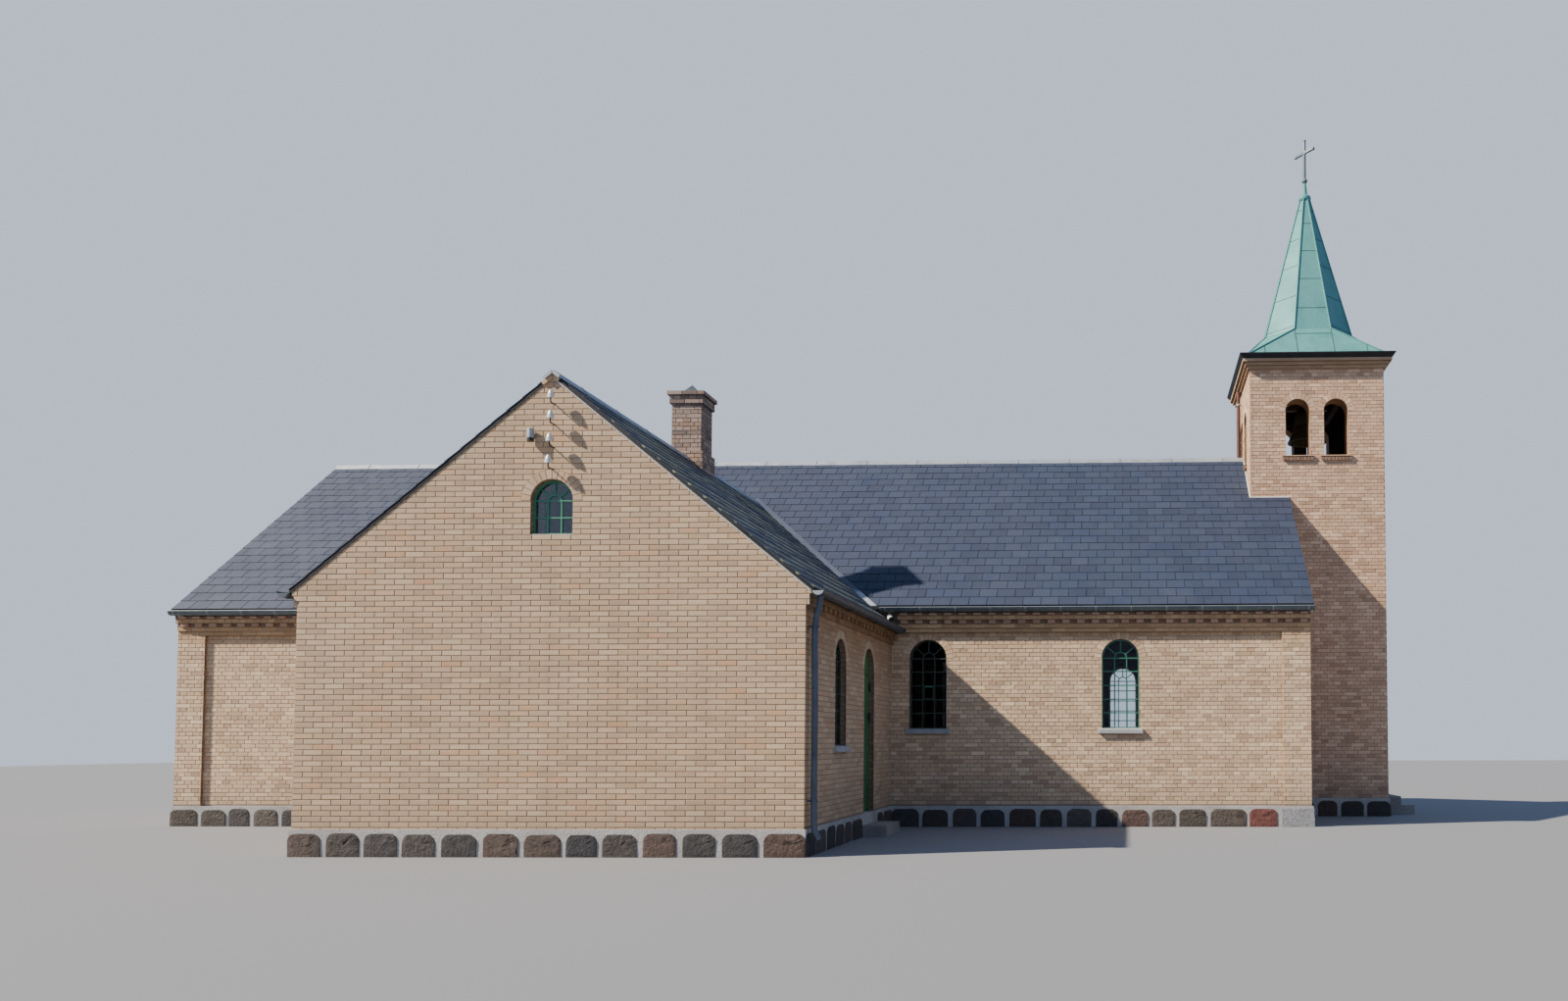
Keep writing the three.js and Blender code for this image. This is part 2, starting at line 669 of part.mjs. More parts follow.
function buildPipes() {
  const x = wingRight + wingPipeOut;
  const outlet = wingRight + wingGutterOut;
  const y = wingFront + wingPipeBack;
  const top = wingGutterRim - gutterRadius - seam;
  addPiece('wing_downpipe', pipe([
    [outlet, y, top], [outlet, y, top - 60], [x + 20, y, top - 210], [x, y, top - 300],
    [x, y, 1800], [x, y, wingPipeShoe.z + 220], [x + 8, y, wingPipeShoe.z + 100],
    [x + wingPipeShoe.out, y, wingPipeShoe.z],
  ]), 'darkMetal');
  const tx = towerLeft - towerPipe.out;
  const ty = towerPipe.y;
  const foot = naveSlates(ty) + towerPipe.foot;
  const middle = (foot + towerTop) / 2;
  addPiece('tower_downpipe', pipe([[tx, ty, foot], [tx, ty, middle], [tx, ty, towerTop - seam]]), 'pipeRed');
}

// Tower

function buildTower() {
  const bells = (middle) => [-1, 1].map((side) => ({ centre: middle + side * belfry.apart, ...belfry }));
  const face = (middle, half, low) => [
    [middle - half, low], [middle + half, low], [middle + half, towerTop], [middle - half, towerTop],
  ];
  for (const [name, side] of [['tower_front_wall', -1], ['tower_back_wall', 1]]) {
    addPiece(name, piercedWall(slabAlongY, face(towerCentre, towerHalf, plinthTop),
      bells(towerCentre), side * towerHalf, side * towerInside), 'brick');
  }
  const outside = { centre: 0, width: towerDoor.width, sill: plinthTop - past, top: towerDoor.top };
  addPiece('tower_west_wall', piercedWall(slabAlongX, face(0, towerInside, plinthTop),
    [...bells(0), outside], towerRight - towerWall, towerRight), 'brick');

  // The wall towards the nave stands on two piers beside its doorway
  const spring = innerDoor.top - innerDoor.width / 2;
  const inside = { centre: 0, width: innerDoor.width, sill: spring - past, top: innerDoor.top };
  addPiece('tower_east_wall', piercedWall(slabAlongX, face(0, towerInside, spring),
    [...bells(0), inside], towerLeft, towerLeft + towerWall), 'brick');
  for (const [name, side] of [['tower_inner_pier_front', -1], ['tower_inner_pier_back', 1]]) {
    addPiece(name, box(towerLeft, towerLeft + towerWall, side * innerDoor.width / 2, side * towerInside,
      plinthTop, spring), 'brick');
  }
}

function squareRing(half, hole, z0, z1) {
  const outer = box(towerCentre - half, towerCentre + half, -half, half, z0, z1);
  return cut(outer, box(towerCentre - hole, towerCentre + hole, -hole, hole, z0 - past, z1 + past));
}

function buildTowerHead() {
  const eaveLow = eaveTop - eaveHigh;
  const stepHigh = (eaveLow - towerTop) / towerCorniceSteps.length;
  const rings = towerCorniceSteps.map((out, k) =>
    squareRing(towerHalf + out, towerInside, towerTop + k * stepHigh, towerTop + (k + 1) * stepHigh));
  addPiece('tower_cornice', fuse(...rings), 'brick');
  const plate = squareRing(towerHalf + eaveOut, towerInside, eaveLow, eaveTop);
  const groove = squareRing(towerHalf + eaveOut - eaveLip, skirtHalf + eaveFloor,
    eaveLow + eaveFloor, eaveTop + past);
  addPiece('tower_eave', cut(plate, groove), 'darkMetal');
  addPiece('belfry_floor', box(towerCentre - towerInside, towerCentre + towerInside,
    -towerInside, towerInside, belfryFloor.top - belfryFloor.thick, belfryFloor.top), 'timber');
}

function buildTowerDoor() {
  const x1 = towerRight - paneSet;
  const outline = archShape(0, towerDoor.width - 2 * seam, plinthTop, towerDoor.top - seam);
  addPiece('tower_door', slabAlongX(outline, x1 - leafThick, x1), 'green');
  const edge = towerRight + plinthOut;
  const steps = [landing, lowStep].map(({ half, out, top }) =>
    box(edge, towerRight + out, -half, half, 0, top));
  addPiece('tower_steps', fuse(...steps), 'stone');
}

// Spire: a square skirt breaking into a tall octagon, as a sheet-clad shell

function octagon(apothem, z) {
  const corner = apothem * Math.tan(Math.PI / 8);
  const quarter = [[apothem, corner], [corner, apothem]];
  const turns = [([x, y]) => [x, y], ([x, y]) => [-y, x], ([x, y]) => [-x, -y], ([x, y]) => [y, -x]];
  return turns.flatMap((turn) => quarter.map(turn)).map(([x, y]) => new THREE.Vector3(towerCentre + x, y, z));
}

function square(x, y, half, z) {
  return [[-1, -1], [1, -1], [1, 1], [-1, 1]]
    .map(([u, v]) => new THREE.Vector3(x + u * half, y + v * half, z));
}

// inset gives how far the skirt, its corners and the head lie inside the outer skin
function spireBody(inset, bottom) {
  const foot = octagon(spireFoot.apothem - inset.skirt, spireFoot.z - inset.drop);
  const overlap = foot.map((corner) => corner.clone().setZ(corner.z - past));
  const skirt = new ConvexGeometry([...square(towerCentre, 0, skirtHalf - inset.corner, bottom), ...foot]);
  const shaft = new ConvexGeometry([...overlap, ...octagon(spireHead.apothem - inset.head, spireHead.z)]);
  return fuse(skirt, shaft);
}

function buildSpire() {
  const outside = spireBody({ skirt: 0, corner: 0, head: 0, drop: 0 }, eaveTop);
  addPiece('spire', cut(outside, spireBody(spireSkin, eaveTop - past)), 'copper');
}

function buildCross() {
  const turned = (top, low, z0, z1) =>
    new THREE.CylinderGeometry(top, low, z1 - z0, 24).rotateX(Math.PI / 2).translate(0, 0, (z0 + z1) / 2);
  const collarTop = spireHead.z + collar.high;
  const { foot, top, armZ, armHalf, bar, turn } = cross;
  const parts = [
    turned(collar.radius, collar.radius, spireHead.z, collarTop),
    turned(cone.high, cone.low, collarTop - past, cone.top),
    new THREE.SphereGeometry(ball.radius, 20, 12).translate(0, 0, ball.z),
    new THREE.BoxGeometry(bar, bar, top - foot).translate(0, 0, (top + foot) / 2),
    new THREE.BoxGeometry(2 * armHalf, bar, bar).translate(0, 0, armZ),
  ];
  addPiece('spire_cross', fuse(...parts).rotateZ(turn).translate(towerCentre, 0, 0), 'iron');
}

// Bell under its headstock, swinging on an axle that lies in two saddles

function buildBell() {
  const crown = bellAxle - crownDrop;
  const outline = bellOutline.map(([radius, depth]) => new THREE.Vector2(radius, crown - depth));
  const bowl = new THREE.LatheGeometry(outline, 32).rotateX(Math.PI / 2);
  const axle = new THREE.CylinderGeometry(axleRadius, axleRadius, 2 * (beam.at + axlePast), 20)
    .rotateZ(Math.PI / 2).translate(0, 0, bellAxle);
  const stock = new THREE.BoxGeometry(2 * headstock.half, headstock.thick, headstock.thick)
    .translate(0, 0, bellAxle - headstock.drop);
  addPiece('bell', fuse(bowl, axle, stock).translate(towerCentre, 0, 0), 'bronze');
}

function buildBellFrame() {
  const top = bellAxle - axleRadius - beam.drop;
  const low = top - beam.high;
  const tieAt = towerInside - beam.half;
  const parts = [];
  const grooves = [];
  for (const side of [-1, 1]) {
    const at = towerCentre + side * beam.at;
    const tie = side * tieAt;
    parts.push(box(at - beam.half, at + beam.half, -towerInside, towerInside, low, top));
    parts.push(box(at - saddle.along, at + saddle.along, -saddle.across, saddle.across,
      top - past, bellAxle));
    parts.push(box(towerCentre - beam.at, towerCentre + beam.at, tie - beam.half, tie + beam.half,
      low + beam.tie, top - beam.tie));
    grooves.push(new THREE.CylinderGeometry(axleRadius + seam, axleRadius + seam, 4 * beam.half, 20)
      .rotateZ(Math.PI / 2).translate(at, 0, bellAxle));
  }
  addPiece('bell_frame', cut(fuse(...parts), ...grooves), 'timber');
}

// Chimney: a stack from the wing's floor up through the ridge, with a corbelled head and a cowl

function buildChimney() {
  const block = (half, z0, z1) =>
    box(wingCentre - half, wingCentre + half, chimneyMiddle - half, chimneyMiddle + half, z0, z1);
  const neckLow = chimneyTop - chimneyNeck;
  const stack = fuse(
    block(chimneyHalf, plinthTop, neckLow + past),
    block(chimneyBase.half, chimneyBase.low, chimneyBase.top),
    block(chimneyNeckHalf, neckLow, chimneyTop - course),
    block(chimneyCapHalf, chimneyTop - course, chimneyTop));
  addPiece('chimney', cut(stack, block(flue.half, flue.low, chimneyTop + past)), 'chimneyBrick');

  const pyramid = (half, foot, tip) => new ConvexGeometry([
    ...square(wingCentre, chimneyMiddle, half, foot), new THREE.Vector3(wingCentre, chimneyMiddle, tip)]);
  const tip = chimneyTop + cowl.high;
  const outside = pyramid(cowl.half, chimneyTop, tip);
  const inside = pyramid(cowl.half - cowl.skin, chimneyTop - past, tip - cowl.skin);
  addPiece('chimney_cowl', cut(outside, inside), 'zinc');
}

buildPlinth();
buildFloors();
buildNaveWalls();
buildWingWalls();
buildWindows();
buildSideDoor();
buildNaveRoof();
buildWingRoof();
buildValleys();
buildGutters();
buildPipes();
buildTower();
buildTowerHead();
buildTowerDoor();
buildSpire();
buildCross();
buildBell();
buildBellFrame();
buildChimney();

export default church;
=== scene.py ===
import json
import math
import random
import bpy
from mathutils import Matrix, Vector

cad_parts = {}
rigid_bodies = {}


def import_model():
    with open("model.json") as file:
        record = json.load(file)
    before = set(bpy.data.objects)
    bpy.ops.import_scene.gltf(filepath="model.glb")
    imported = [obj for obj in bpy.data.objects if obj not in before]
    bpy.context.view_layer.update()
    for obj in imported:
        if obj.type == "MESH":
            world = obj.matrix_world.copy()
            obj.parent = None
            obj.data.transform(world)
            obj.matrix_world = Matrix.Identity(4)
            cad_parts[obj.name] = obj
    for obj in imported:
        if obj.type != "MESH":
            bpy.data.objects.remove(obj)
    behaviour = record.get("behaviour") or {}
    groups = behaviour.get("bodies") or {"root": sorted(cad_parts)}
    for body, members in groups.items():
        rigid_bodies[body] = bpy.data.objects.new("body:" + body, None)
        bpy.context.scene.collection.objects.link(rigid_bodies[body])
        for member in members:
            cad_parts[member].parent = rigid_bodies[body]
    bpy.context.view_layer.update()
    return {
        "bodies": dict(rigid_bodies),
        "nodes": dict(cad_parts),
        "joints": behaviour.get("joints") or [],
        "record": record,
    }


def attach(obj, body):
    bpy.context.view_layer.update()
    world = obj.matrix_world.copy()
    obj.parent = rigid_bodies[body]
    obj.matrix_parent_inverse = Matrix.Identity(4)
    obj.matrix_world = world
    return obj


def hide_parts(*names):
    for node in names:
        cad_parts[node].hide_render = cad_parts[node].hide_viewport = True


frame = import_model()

# The looks of the small brick church: bricks, slates, stones, window bars and metalwork
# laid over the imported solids, in metres, +X towards the tower and +Y to the back.
nodes = frame["nodes"]

# The brick grid that the solids share: a stretcher with its joint, and a course
module = 0.24
course = 0.0667
plinthTop = 0.331

# Turn about Z that brings a piece made facing -Y to each side of the building
facings = {"front": 0.0, "right": math.pi / 2, "back": math.pi, "left": -math.pi / 2}
materials = {}


# Modelling helpers

def deselectAll():
    bpy.ops.object.select_all(action="DESELECT")


def makeActive(piece):
    deselectAll()
    piece.select_set(True)
    bpy.context.view_layer.objects.active = piece


def applyPlace(piece):
    makeActive(piece)
    bpy.ops.object.transform_apply(location=True, rotation=True, scale=True)
    return piece


def moveBy(piece, matrix):
    piece.matrix_world = matrix @ piece.matrix_world
    return applyPlace(piece)


def moveTo(piece, x, y, z):
    return moveBy(piece, Matrix.Translation((x, y, z)))


def block(low, high):
    deselectAll()
    bpy.ops.mesh.primitive_cube_add(size=1, location=[(a + b) / 2 for a, b in zip(low, high)])
    piece = bpy.context.object
    piece.scale = [b - a for a, b in zip(low, high)]
    return applyPlace(piece)


# A round bar or a disc between two points, a cone where tip is given
def rod(start, end, radius, sides=12, tip=None):
    deselectAll()
    a, b = Vector(start), Vector(end)
    bpy.ops.mesh.primitive_cone_add(vertices=sides, radius1=radius, radius2=radius if tip is None else tip,
                                    depth=(b - a).length)
    turn = (b - a).to_track_quat("Z", "Y").to_matrix().to_4x4()
    return moveBy(bpy.context.object, Matrix.Translation((a + b) / 2) @ turn)


def ballAt(place, radius, stretch=(1, 1, 1)):
    deselectAll()
    bpy.ops.mesh.primitive_uv_sphere_add(segments=16, ring_count=10, radius=radius, location=place)
    piece = bpy.context.object
    piece.scale = stretch
    return applyPlace(piece)


# A flat bar between two points, its thickness along up
def strip(start, end, wide, thick, up):
    a, b = Vector(start), Vector(end)
    along = (b - a).normalized()
    side = Vector(up).cross(along).normalized()
    piece = block((0, -wide / 2, -thick / 2), ((b - a).length, wide / 2, thick / 2))
    turn = Matrix((along, side, along.cross(side))).transposed().to_4x4()
    return moveBy(piece, Matrix.Translation(a) @ turn)


def openEdit(piece):
    makeActive(piece)
    bpy.ops.object.mode_set(mode="EDIT")
    bpy.ops.mesh.select_mode(type="FACE")
    bpy.ops.mesh.select_all(action="SELECT")


def closeEdit():
    bpy.ops.object.mode_set(mode="OBJECT")


def pickFaces(piece, test):
    openEdit(piece)
    bpy.ops.mesh.select_all(action="DESELECT")
    closeEdit()
    for face in piece.data.polygons:
        face.select = test(face)
    bpy.ops.object.mode_set(mode="EDIT")


def pickEdges(piece, test):
    openEdit(piece)
    bpy.ops.mesh.select_all(action="DESELECT")
    bpy.ops.mesh.select_mode(type="EDGE")
    closeEdit()
    points = piece.data.vertices
    for edge in piece.data.edges:
        edge.select = test(points[edge.vertices[0]].co, points[edge.vertices[1]].co)
    bpy.ops.object.mode_set(mode="EDIT")


def roughen(piece, amount, seed):
    openEdit(piece)
    bpy.ops.transform.vertex_random(offset=amount, seed=seed)
    closeEdit()
    return piece


# Takes away what lies on the side that normal points to
def cutPlane(piece, point, normal):
    openEdit(piece)
    bpy.ops.mesh.bisect(plane_co=point, plane_no=normal, use_fill=True, clear_outer=True)
    closeEdit()
    return piece


def applied(piece, kind, **values):
    makeActive(piece)
    modifier = piece.modifiers.new("step", kind)
    for key, value in values.items():
        setattr(modifier, key, value)
    bpy.ops.object.modifier_apply(modifier=modifier.name)
    return piece


def repeated(piece, count, step):
    return applied(piece, "ARRAY", use_relative_offset=False, use_constant_offset=True,
                   constant_offset_displace=step, count=count)


def softened(piece, width, segments=1):
    return applied(piece, "BEVEL", width=width, segments=segments, limit_method="ANGLE", angle_limit=0.5)


# Takes out the faces without area that a narrow bevel or a cut leaves
def cleaned(piece):
    openEdit(piece)
    bpy.ops.mesh.remove_doubles(threshold=0.00005)
    bpy.ops.mesh.dissolve_degenerate(threshold=0.00005)
    closeEdit()
    return piece


def boolean(piece, tool, operation):
    applied(piece, "BOOLEAN", operation=operation, solver="MANIFOLD", object=tool)
    bpy.data.objects.remove(tool)
    return piece


def joined(pieces):
    makeActive(pieces[0])
    for piece in pieces[1:]:
        piece.select_set(True)
    if len(pieces) > 1:
        bpy.ops.object.join()
    return pieces[0]


def copied(piece):
    twin = piece.copy()
    twin.data = piece.data.copy()
    bpy.context.scene.collection.objects.link(twin)
    return twin


# A merged copy of a CAD node, moved by shift, to trim pieces with
def nodeCopy(name, shift=(0, 0, 0)):
    twin = copied(nodes[name])
    openEdit(twin)
    bpy.ops.mesh.remove_doubles(threshold=0.00001)
    closeEdit()
    return moveTo(twin, *shift)


def smoothed(piece, angle=0.6):
    makeActive(piece)
    bpy.ops.object.shade_smooth_by_angle(angle=angle)
    return piece


# Turn that brings what is made facing -Y to another side of an upright axis
def turned(facing, x=0.0, y=0.0, z=0.0):
    return Matrix.Translation((x, y, z)) @ Matrix.Rotation(facings[facing], 4, "Z")


# Brings a piece made facing -Y, with the wall's face at y 0, onto a wall
def onWall(piece, facing, face, along=0.0):
    turn = Matrix.Rotation(facings[facing], 4, "Z")
    reach = Vector((0, face, 0)) if facing in ("front", "back") else Vector((face, 0, 0))
    return moveBy(piece, Matrix.Translation(reach) @ turn @ Matrix.Translation((along, 0, 0)))


# Joins the parts of a finished piece, and gives it its name, finish, slot and body
def done(piece, name, material, body="church"):
    piece = joined(piece) if isinstance(piece, list) else piece
    piece.name = name
    piece.data.name = name
    piece.data.materials.clear()
    piece.data.materials.append(materials[material])
    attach(piece, body)
    return piece


# Camera, light and floor

cameraLook = {"place": (6.41407, -22.98175, 1.37696), "yaw": -0.028343, "pitch": 0.041777,
              "roll": -0.001658, "lens": 27.0687, "shift": (-0.198329, 0.121948)}
cameraData = bpy.data.cameras.new("camera")
cameraData.sensor_width = 36
cameraData.lens = cameraLook["lens"]
cameraData.shift_x, cameraData.shift_y = cameraLook["shift"]
cameraData.clip_end = 500
camera = bpy.data.objects.new("camera", cameraData)
bpy.context.scene.collection.objects.link(camera)
camera.matrix_world = (Matrix.Translation(cameraLook["place"])
                       @ Matrix.Rotation(-cameraLook["yaw"], 4, "Z")
                       @ Matrix.Rotation(math.pi / 2 + cameraLook["pitch"], 4, "X")
                       @ Matrix.Rotation(cameraLook["roll"], 4, "Z"))
bpy.context.scene.camera = camera

lightLook = {"sun": 10.6, "sunWay": (1.0, 0.38, -0.885), "softness": 0.016, "sunColour": (1.0, 0.91, 0.79),
             "sky": (0.28, 0.385, 0.64), "backdrop": (0.66, 0.76, 0.92)}
sunData = bpy.data.lights.new("sun", "SUN")
sunData.energy = lightLook["sun"]
sunData.angle = lightLook["softness"]
sunData.color = lightLook["sunColour"]
sun = bpy.data.objects.new("sun", sunData)
bpy.context.scene.collection.objects.link(sun)
sun.rotation_euler = Vector(lightLook["sunWay"]).to_track_quat("-Z", "Y").to_euler()
world = bpy.data.worlds.new("studio")
bpy.context.scene.world = world
world.use_nodes = True
worldTree = world.node_tree
dim = worldTree.nodes["Background"]
dim.inputs["Color"].default_value = (*lightLook["sky"], 1)
pale = worldTree.nodes.new("ShaderNodeBackground")
pale.inputs["Color"].default_value = (*lightLook["backdrop"], 1)
# The backdrop looks pale, also through glass, and lights the building as a dimmer sky
seen = worldTree.nodes.new("ShaderNodeLightPath")
direct = worldTree.nodes.new("ShaderNodeMath")
direct.operation = "MAXIMUM"
choice = worldTree.nodes.new("ShaderNodeMixShader")
for source, target in ((seen.outputs["Is Camera Ray"], direct.inputs[0]),
                       (seen.outputs["Is Transmission Ray"], direct.inputs[1]),
                       (direct.outputs[0], choice.inputs[0]), (dim.outputs[0], choice.inputs[1]),
                       (pale.outputs[0], choice.inputs[2]),
                       (choice.outputs[0], worldTree.nodes["World Output"].inputs["Surface"])):
    worldTree.links.new(source, target)
print("camera and light set")


# Materials

# A colour given as it looks on a screen, 0 to 255, turned into the linear values of a shader
def tone(red, green, blue):
    return tuple(((v / 255 + 0.055) / 1.055) ** 2.4 if v > 10 else v / 255 / 12.92
                 for v in (red, green, blue)) + (1,)


def newNode(tree, kind, **values):
    node = tree.nodes.new(kind)
    for key, value in values.items():
        setattr(node, key, value)
    return node


# Puts a value or another node's output in a socket
def feed(tree, socket, source):
    if isinstance(source, bpy.types.NodeSocket):
        tree.links.new(source, socket)
    else:
        socket.default_value = source


def maths(tree, operation, a, b=0.0, c=0.0):
    node = newNode(tree, "ShaderNodeMath", operation=operation)
    for socket, source in zip(node.inputs, (a, b, c)):
        feed(tree, socket, source)
    return node.outputs[0]


def ranged(tree, value, low, high, toLow, toHigh):
    node = newNode(tree, "ShaderNodeMapRange")
    for socket, source in zip(node.inputs, (value, low, high, toLow, toHigh)):
        feed(tree, socket, source)
    return node.outputs[0]


def mixed(tree, kind, factor, a, b):
    node = newNode(tree, "ShaderNodeMix", data_type="RGBA", blend_type=kind)
    for index, source in ((0, factor), (6, a), (7, b)):
        feed(tree, node.inputs[index], source)
    return node.outputs[2]


def noise(tree, place, scale, detail=4.0, roughness=0.55):
    node = newNode(tree, "ShaderNodeTexNoise")
    feed(tree, node.inputs["Vector"], place)
    feed(tree, node.inputs["Scale"], scale)
    node.inputs["Detail"].default_value = detail
    node.inputs["Roughness"].default_value = roughness
    return node.outputs["Fac"]


def stretched(tree, place, scale):
    node = newNode(tree, "ShaderNodeMapping")
    feed(tree, node.inputs["Vector"], place)
    node.inputs["Scale"].default_value = scale
    return node.outputs["Vector"]


def ramp(tree, factor, stops):
    node = newNode(tree, "ShaderNodeValToRGB")
    while len(node.color_ramp.elements) < len(stops):
        node.color_ramp.elements.new(0.5)
    for element, (place, colour) in zip(node.color_ramp.elements, stops):
        element.position = place
        element.color = colour
    feed(tree, node.inputs["Fac"], factor)
    return node.outputs["Color"]


def newGroup(name, inputs, outputs):
    tree = bpy.data.node_groups.new(name, "ShaderNodeTree")
    for label, value in inputs.items():
        tree.interface.new_socket(label, in_out="INPUT", socket_type="NodeSocketFloat").default_value = value
    for label in outputs:
        tree.interface.new_socket(label, in_out="OUTPUT", socket_type="NodeSocketFloat")
    return tree, newNode(tree, "NodeGroupInput"), newNode(tree, "NodeGroupOutput")


# Fine grain and broad patches of a surface
def makeGrainGroup():
    tree, given, result = newGroup("surface grain", {"Scale": 60.0}, ("Fine", "Broad"))
    place = newNode(tree, "ShaderNodeTexCoord").outputs["Object"]
    feed(tree, result.inputs["Fine"], noise(tree, place, given.outputs["Scale"], 6, 0.62))
    broad = maths(tree, "MULTIPLY", given.outputs["Scale"], 0.045)
    feed(tree, result.inputs["Broad"], noise(tree, place, broad, 3, 0.5))
    return tree


# Rain streaks, broad stains, and damp that rises from the ground
def makeWeatherGroup():
    tree, given, result = newGroup("weathering", {"Foot": 0.9}, ("Streaks", "Stains", "Damp"))
    place = newNode(tree, "ShaderNodeTexCoord").outputs["Object"]
    runs = noise(tree, stretched(tree, place, (1, 1, 0.09)), 4.5, 4, 0.6)
    feed(tree, result.inputs["Streaks"], ranged(tree, runs, 0.48, 0.68, 0, 1))
    stains = noise(tree, place, 0.8, 5, 0.62)
    feed(tree, result.inputs["Stains"], ranged(tree, stains, 0.45, 0.7, 0, 1))
    height = newNode(tree, "ShaderNodeSeparateXYZ")
    feed(tree, height.inputs[0], place)
    wavy = maths(tree, "MULTIPLY", stains, maths(tree, "MULTIPLY", given.outputs["Foot"], 2))
    feed(tree, result.inputs["Damp"], ranged(tree, height.outputs["Z"], 0.2, wavy, 1, 0))
    return tree


grainGroup = makeGrainGroup()
weatherGroup = makeWeatherGroup()


def placedGroup(tree, group, value):
    node = newNode(tree, "ShaderNodeGroup", node_tree=group)
    node.inputs[0].default_value = value
    return node.outputs


# Colour of a surface: grain over its tones, then streaks, stains and damp. paintedShade is two heights and
# the tint that darkens the surface above them, a painted shade where shadow falls on its upper part.
def weatheredAndShaded(tree, colour, look):
    grain = placedGroup(tree, grainGroup, look["grain"])
    weather = placedGroup(tree, weatherGroup, look.get("foot", 0.9))
    shade = ranged(tree, grain["Fine"], 0.3, 0.7, 1 - look["speckle"], 1 + look["speckle"])
    colour = mixed(tree, "MULTIPLY", 1.0, colour, shade)
    for label in ("Streaks", "Stains", "Damp"):
        if label in look:
            amount, stain = look[label]
            colour = mixed(tree, "MIX", maths(tree, "MULTIPLY", weather[label], amount), colour, tone(*stain))
    # Painted shade: a darker tint over the surface above two heights
    if look.get("paintedShade"):
        low, high, tint = look["paintedShade"]
        spot = newNode(tree, "ShaderNodeSeparateXYZ")
        feed(tree, spot.inputs[0], newNode(tree, "ShaderNodeTexCoord").outputs["Object"])
        above = ranged(tree, spot.outputs["Z"], low, high, 0, 1)
        colour = mixed(tree, "MULTIPLY", above, colour, tone(*tint))
    return colour, grain


def bumped(tree, shader, height, depth):
    node = newNode(tree, "ShaderNodeBump")
    node.inputs["Distance"].default_value = depth
    feed(tree, node.inputs["Height"], height)
    feed(tree, shader.inputs["Normal"], node.outputs["Normal"])


def newMaterial(name, metallic=0.0):
    material = bpy.data.materials.new(name)
    material.use_nodes = True
    shader = material.node_tree.nodes["Principled BSDF"]
    shader.inputs["Metallic"].default_value = metallic
    materials[name] = material
    return material.node_tree, shader


# Moss along the lower edges of some courses of slates, in long patches
def mossMask(tree, moss):
    place = newNode(tree, "ShaderNodeTexCoord").outputs["Object"]
    spot = newNode(tree, "ShaderNodeSeparateXYZ")
    feed(tree, spot.inputs[0], place)
    level = maths(tree, "DIVIDE", maths(tree, "SUBTRACT", spot.outputs["Z"], moss["low"]), moss["course"])
    edge = maths(tree, "LESS_THAN", maths(tree, "FRACT", level), moss["share"])
    row = newNode(tree, "ShaderNodeCombineXYZ")
    feed(tree, row.inputs[0], maths(tree, "MULTIPLY", maths(tree, "FLOOR", level), 3.7))
    feed(tree, row.inputs[1], spot.outputs["Y"])
    patch = ranged(tree, noise(tree, row.outputs[0], 0.55, 5, 0.7), 0.42, 0.53, 0, 0.9)
    return maths(tree, "MULTIPLY", edge, patch)


# The common finish: each loose brick, slate or stone takes its own tone where islands is set,
# and any other surface takes its tones from broad patches
def makeFinish(name, look):
    tree, shader = newMaterial(name, look.get("metallic", 0.0))
    if look.get("islands"):
        pick = newNode(tree, "ShaderNodeNewGeometry").outputs["Random Per Island"]
    else:
        place = newNode(tree, "ShaderNodeTexCoord").outputs["Object"]
        place = stretched(tree, place, look.get("stretch", (1, 1, 1)))
        pick = ranged(tree, noise(tree, place, look.get("patches", 1.5), 5, 0.6), 0.3, 0.7, 0, 1)
    colour, grain = weatheredAndShaded(tree, ramp(tree, pick, spread(*look["tones"])), look)
    if look.get("moss"):
        colour = mixed(tree, "MIX", mossMask(tree, look["moss"]), colour, tone(*look["moss"]["colour"]))
    feed(tree, shader.inputs["Base Color"], colour)
    low, high = look["rough"]
    feed(tree, shader.inputs["Roughness"], ranged(tree, grain["Broad"], 0.3, 0.7, low, high))
    bumped(tree, shader, grain["Fine"], look["bump"])


def spread(*colours):
    return [(k / (len(colours) - 1), tone(*colour)) for k, colour in enumerate(colours)]


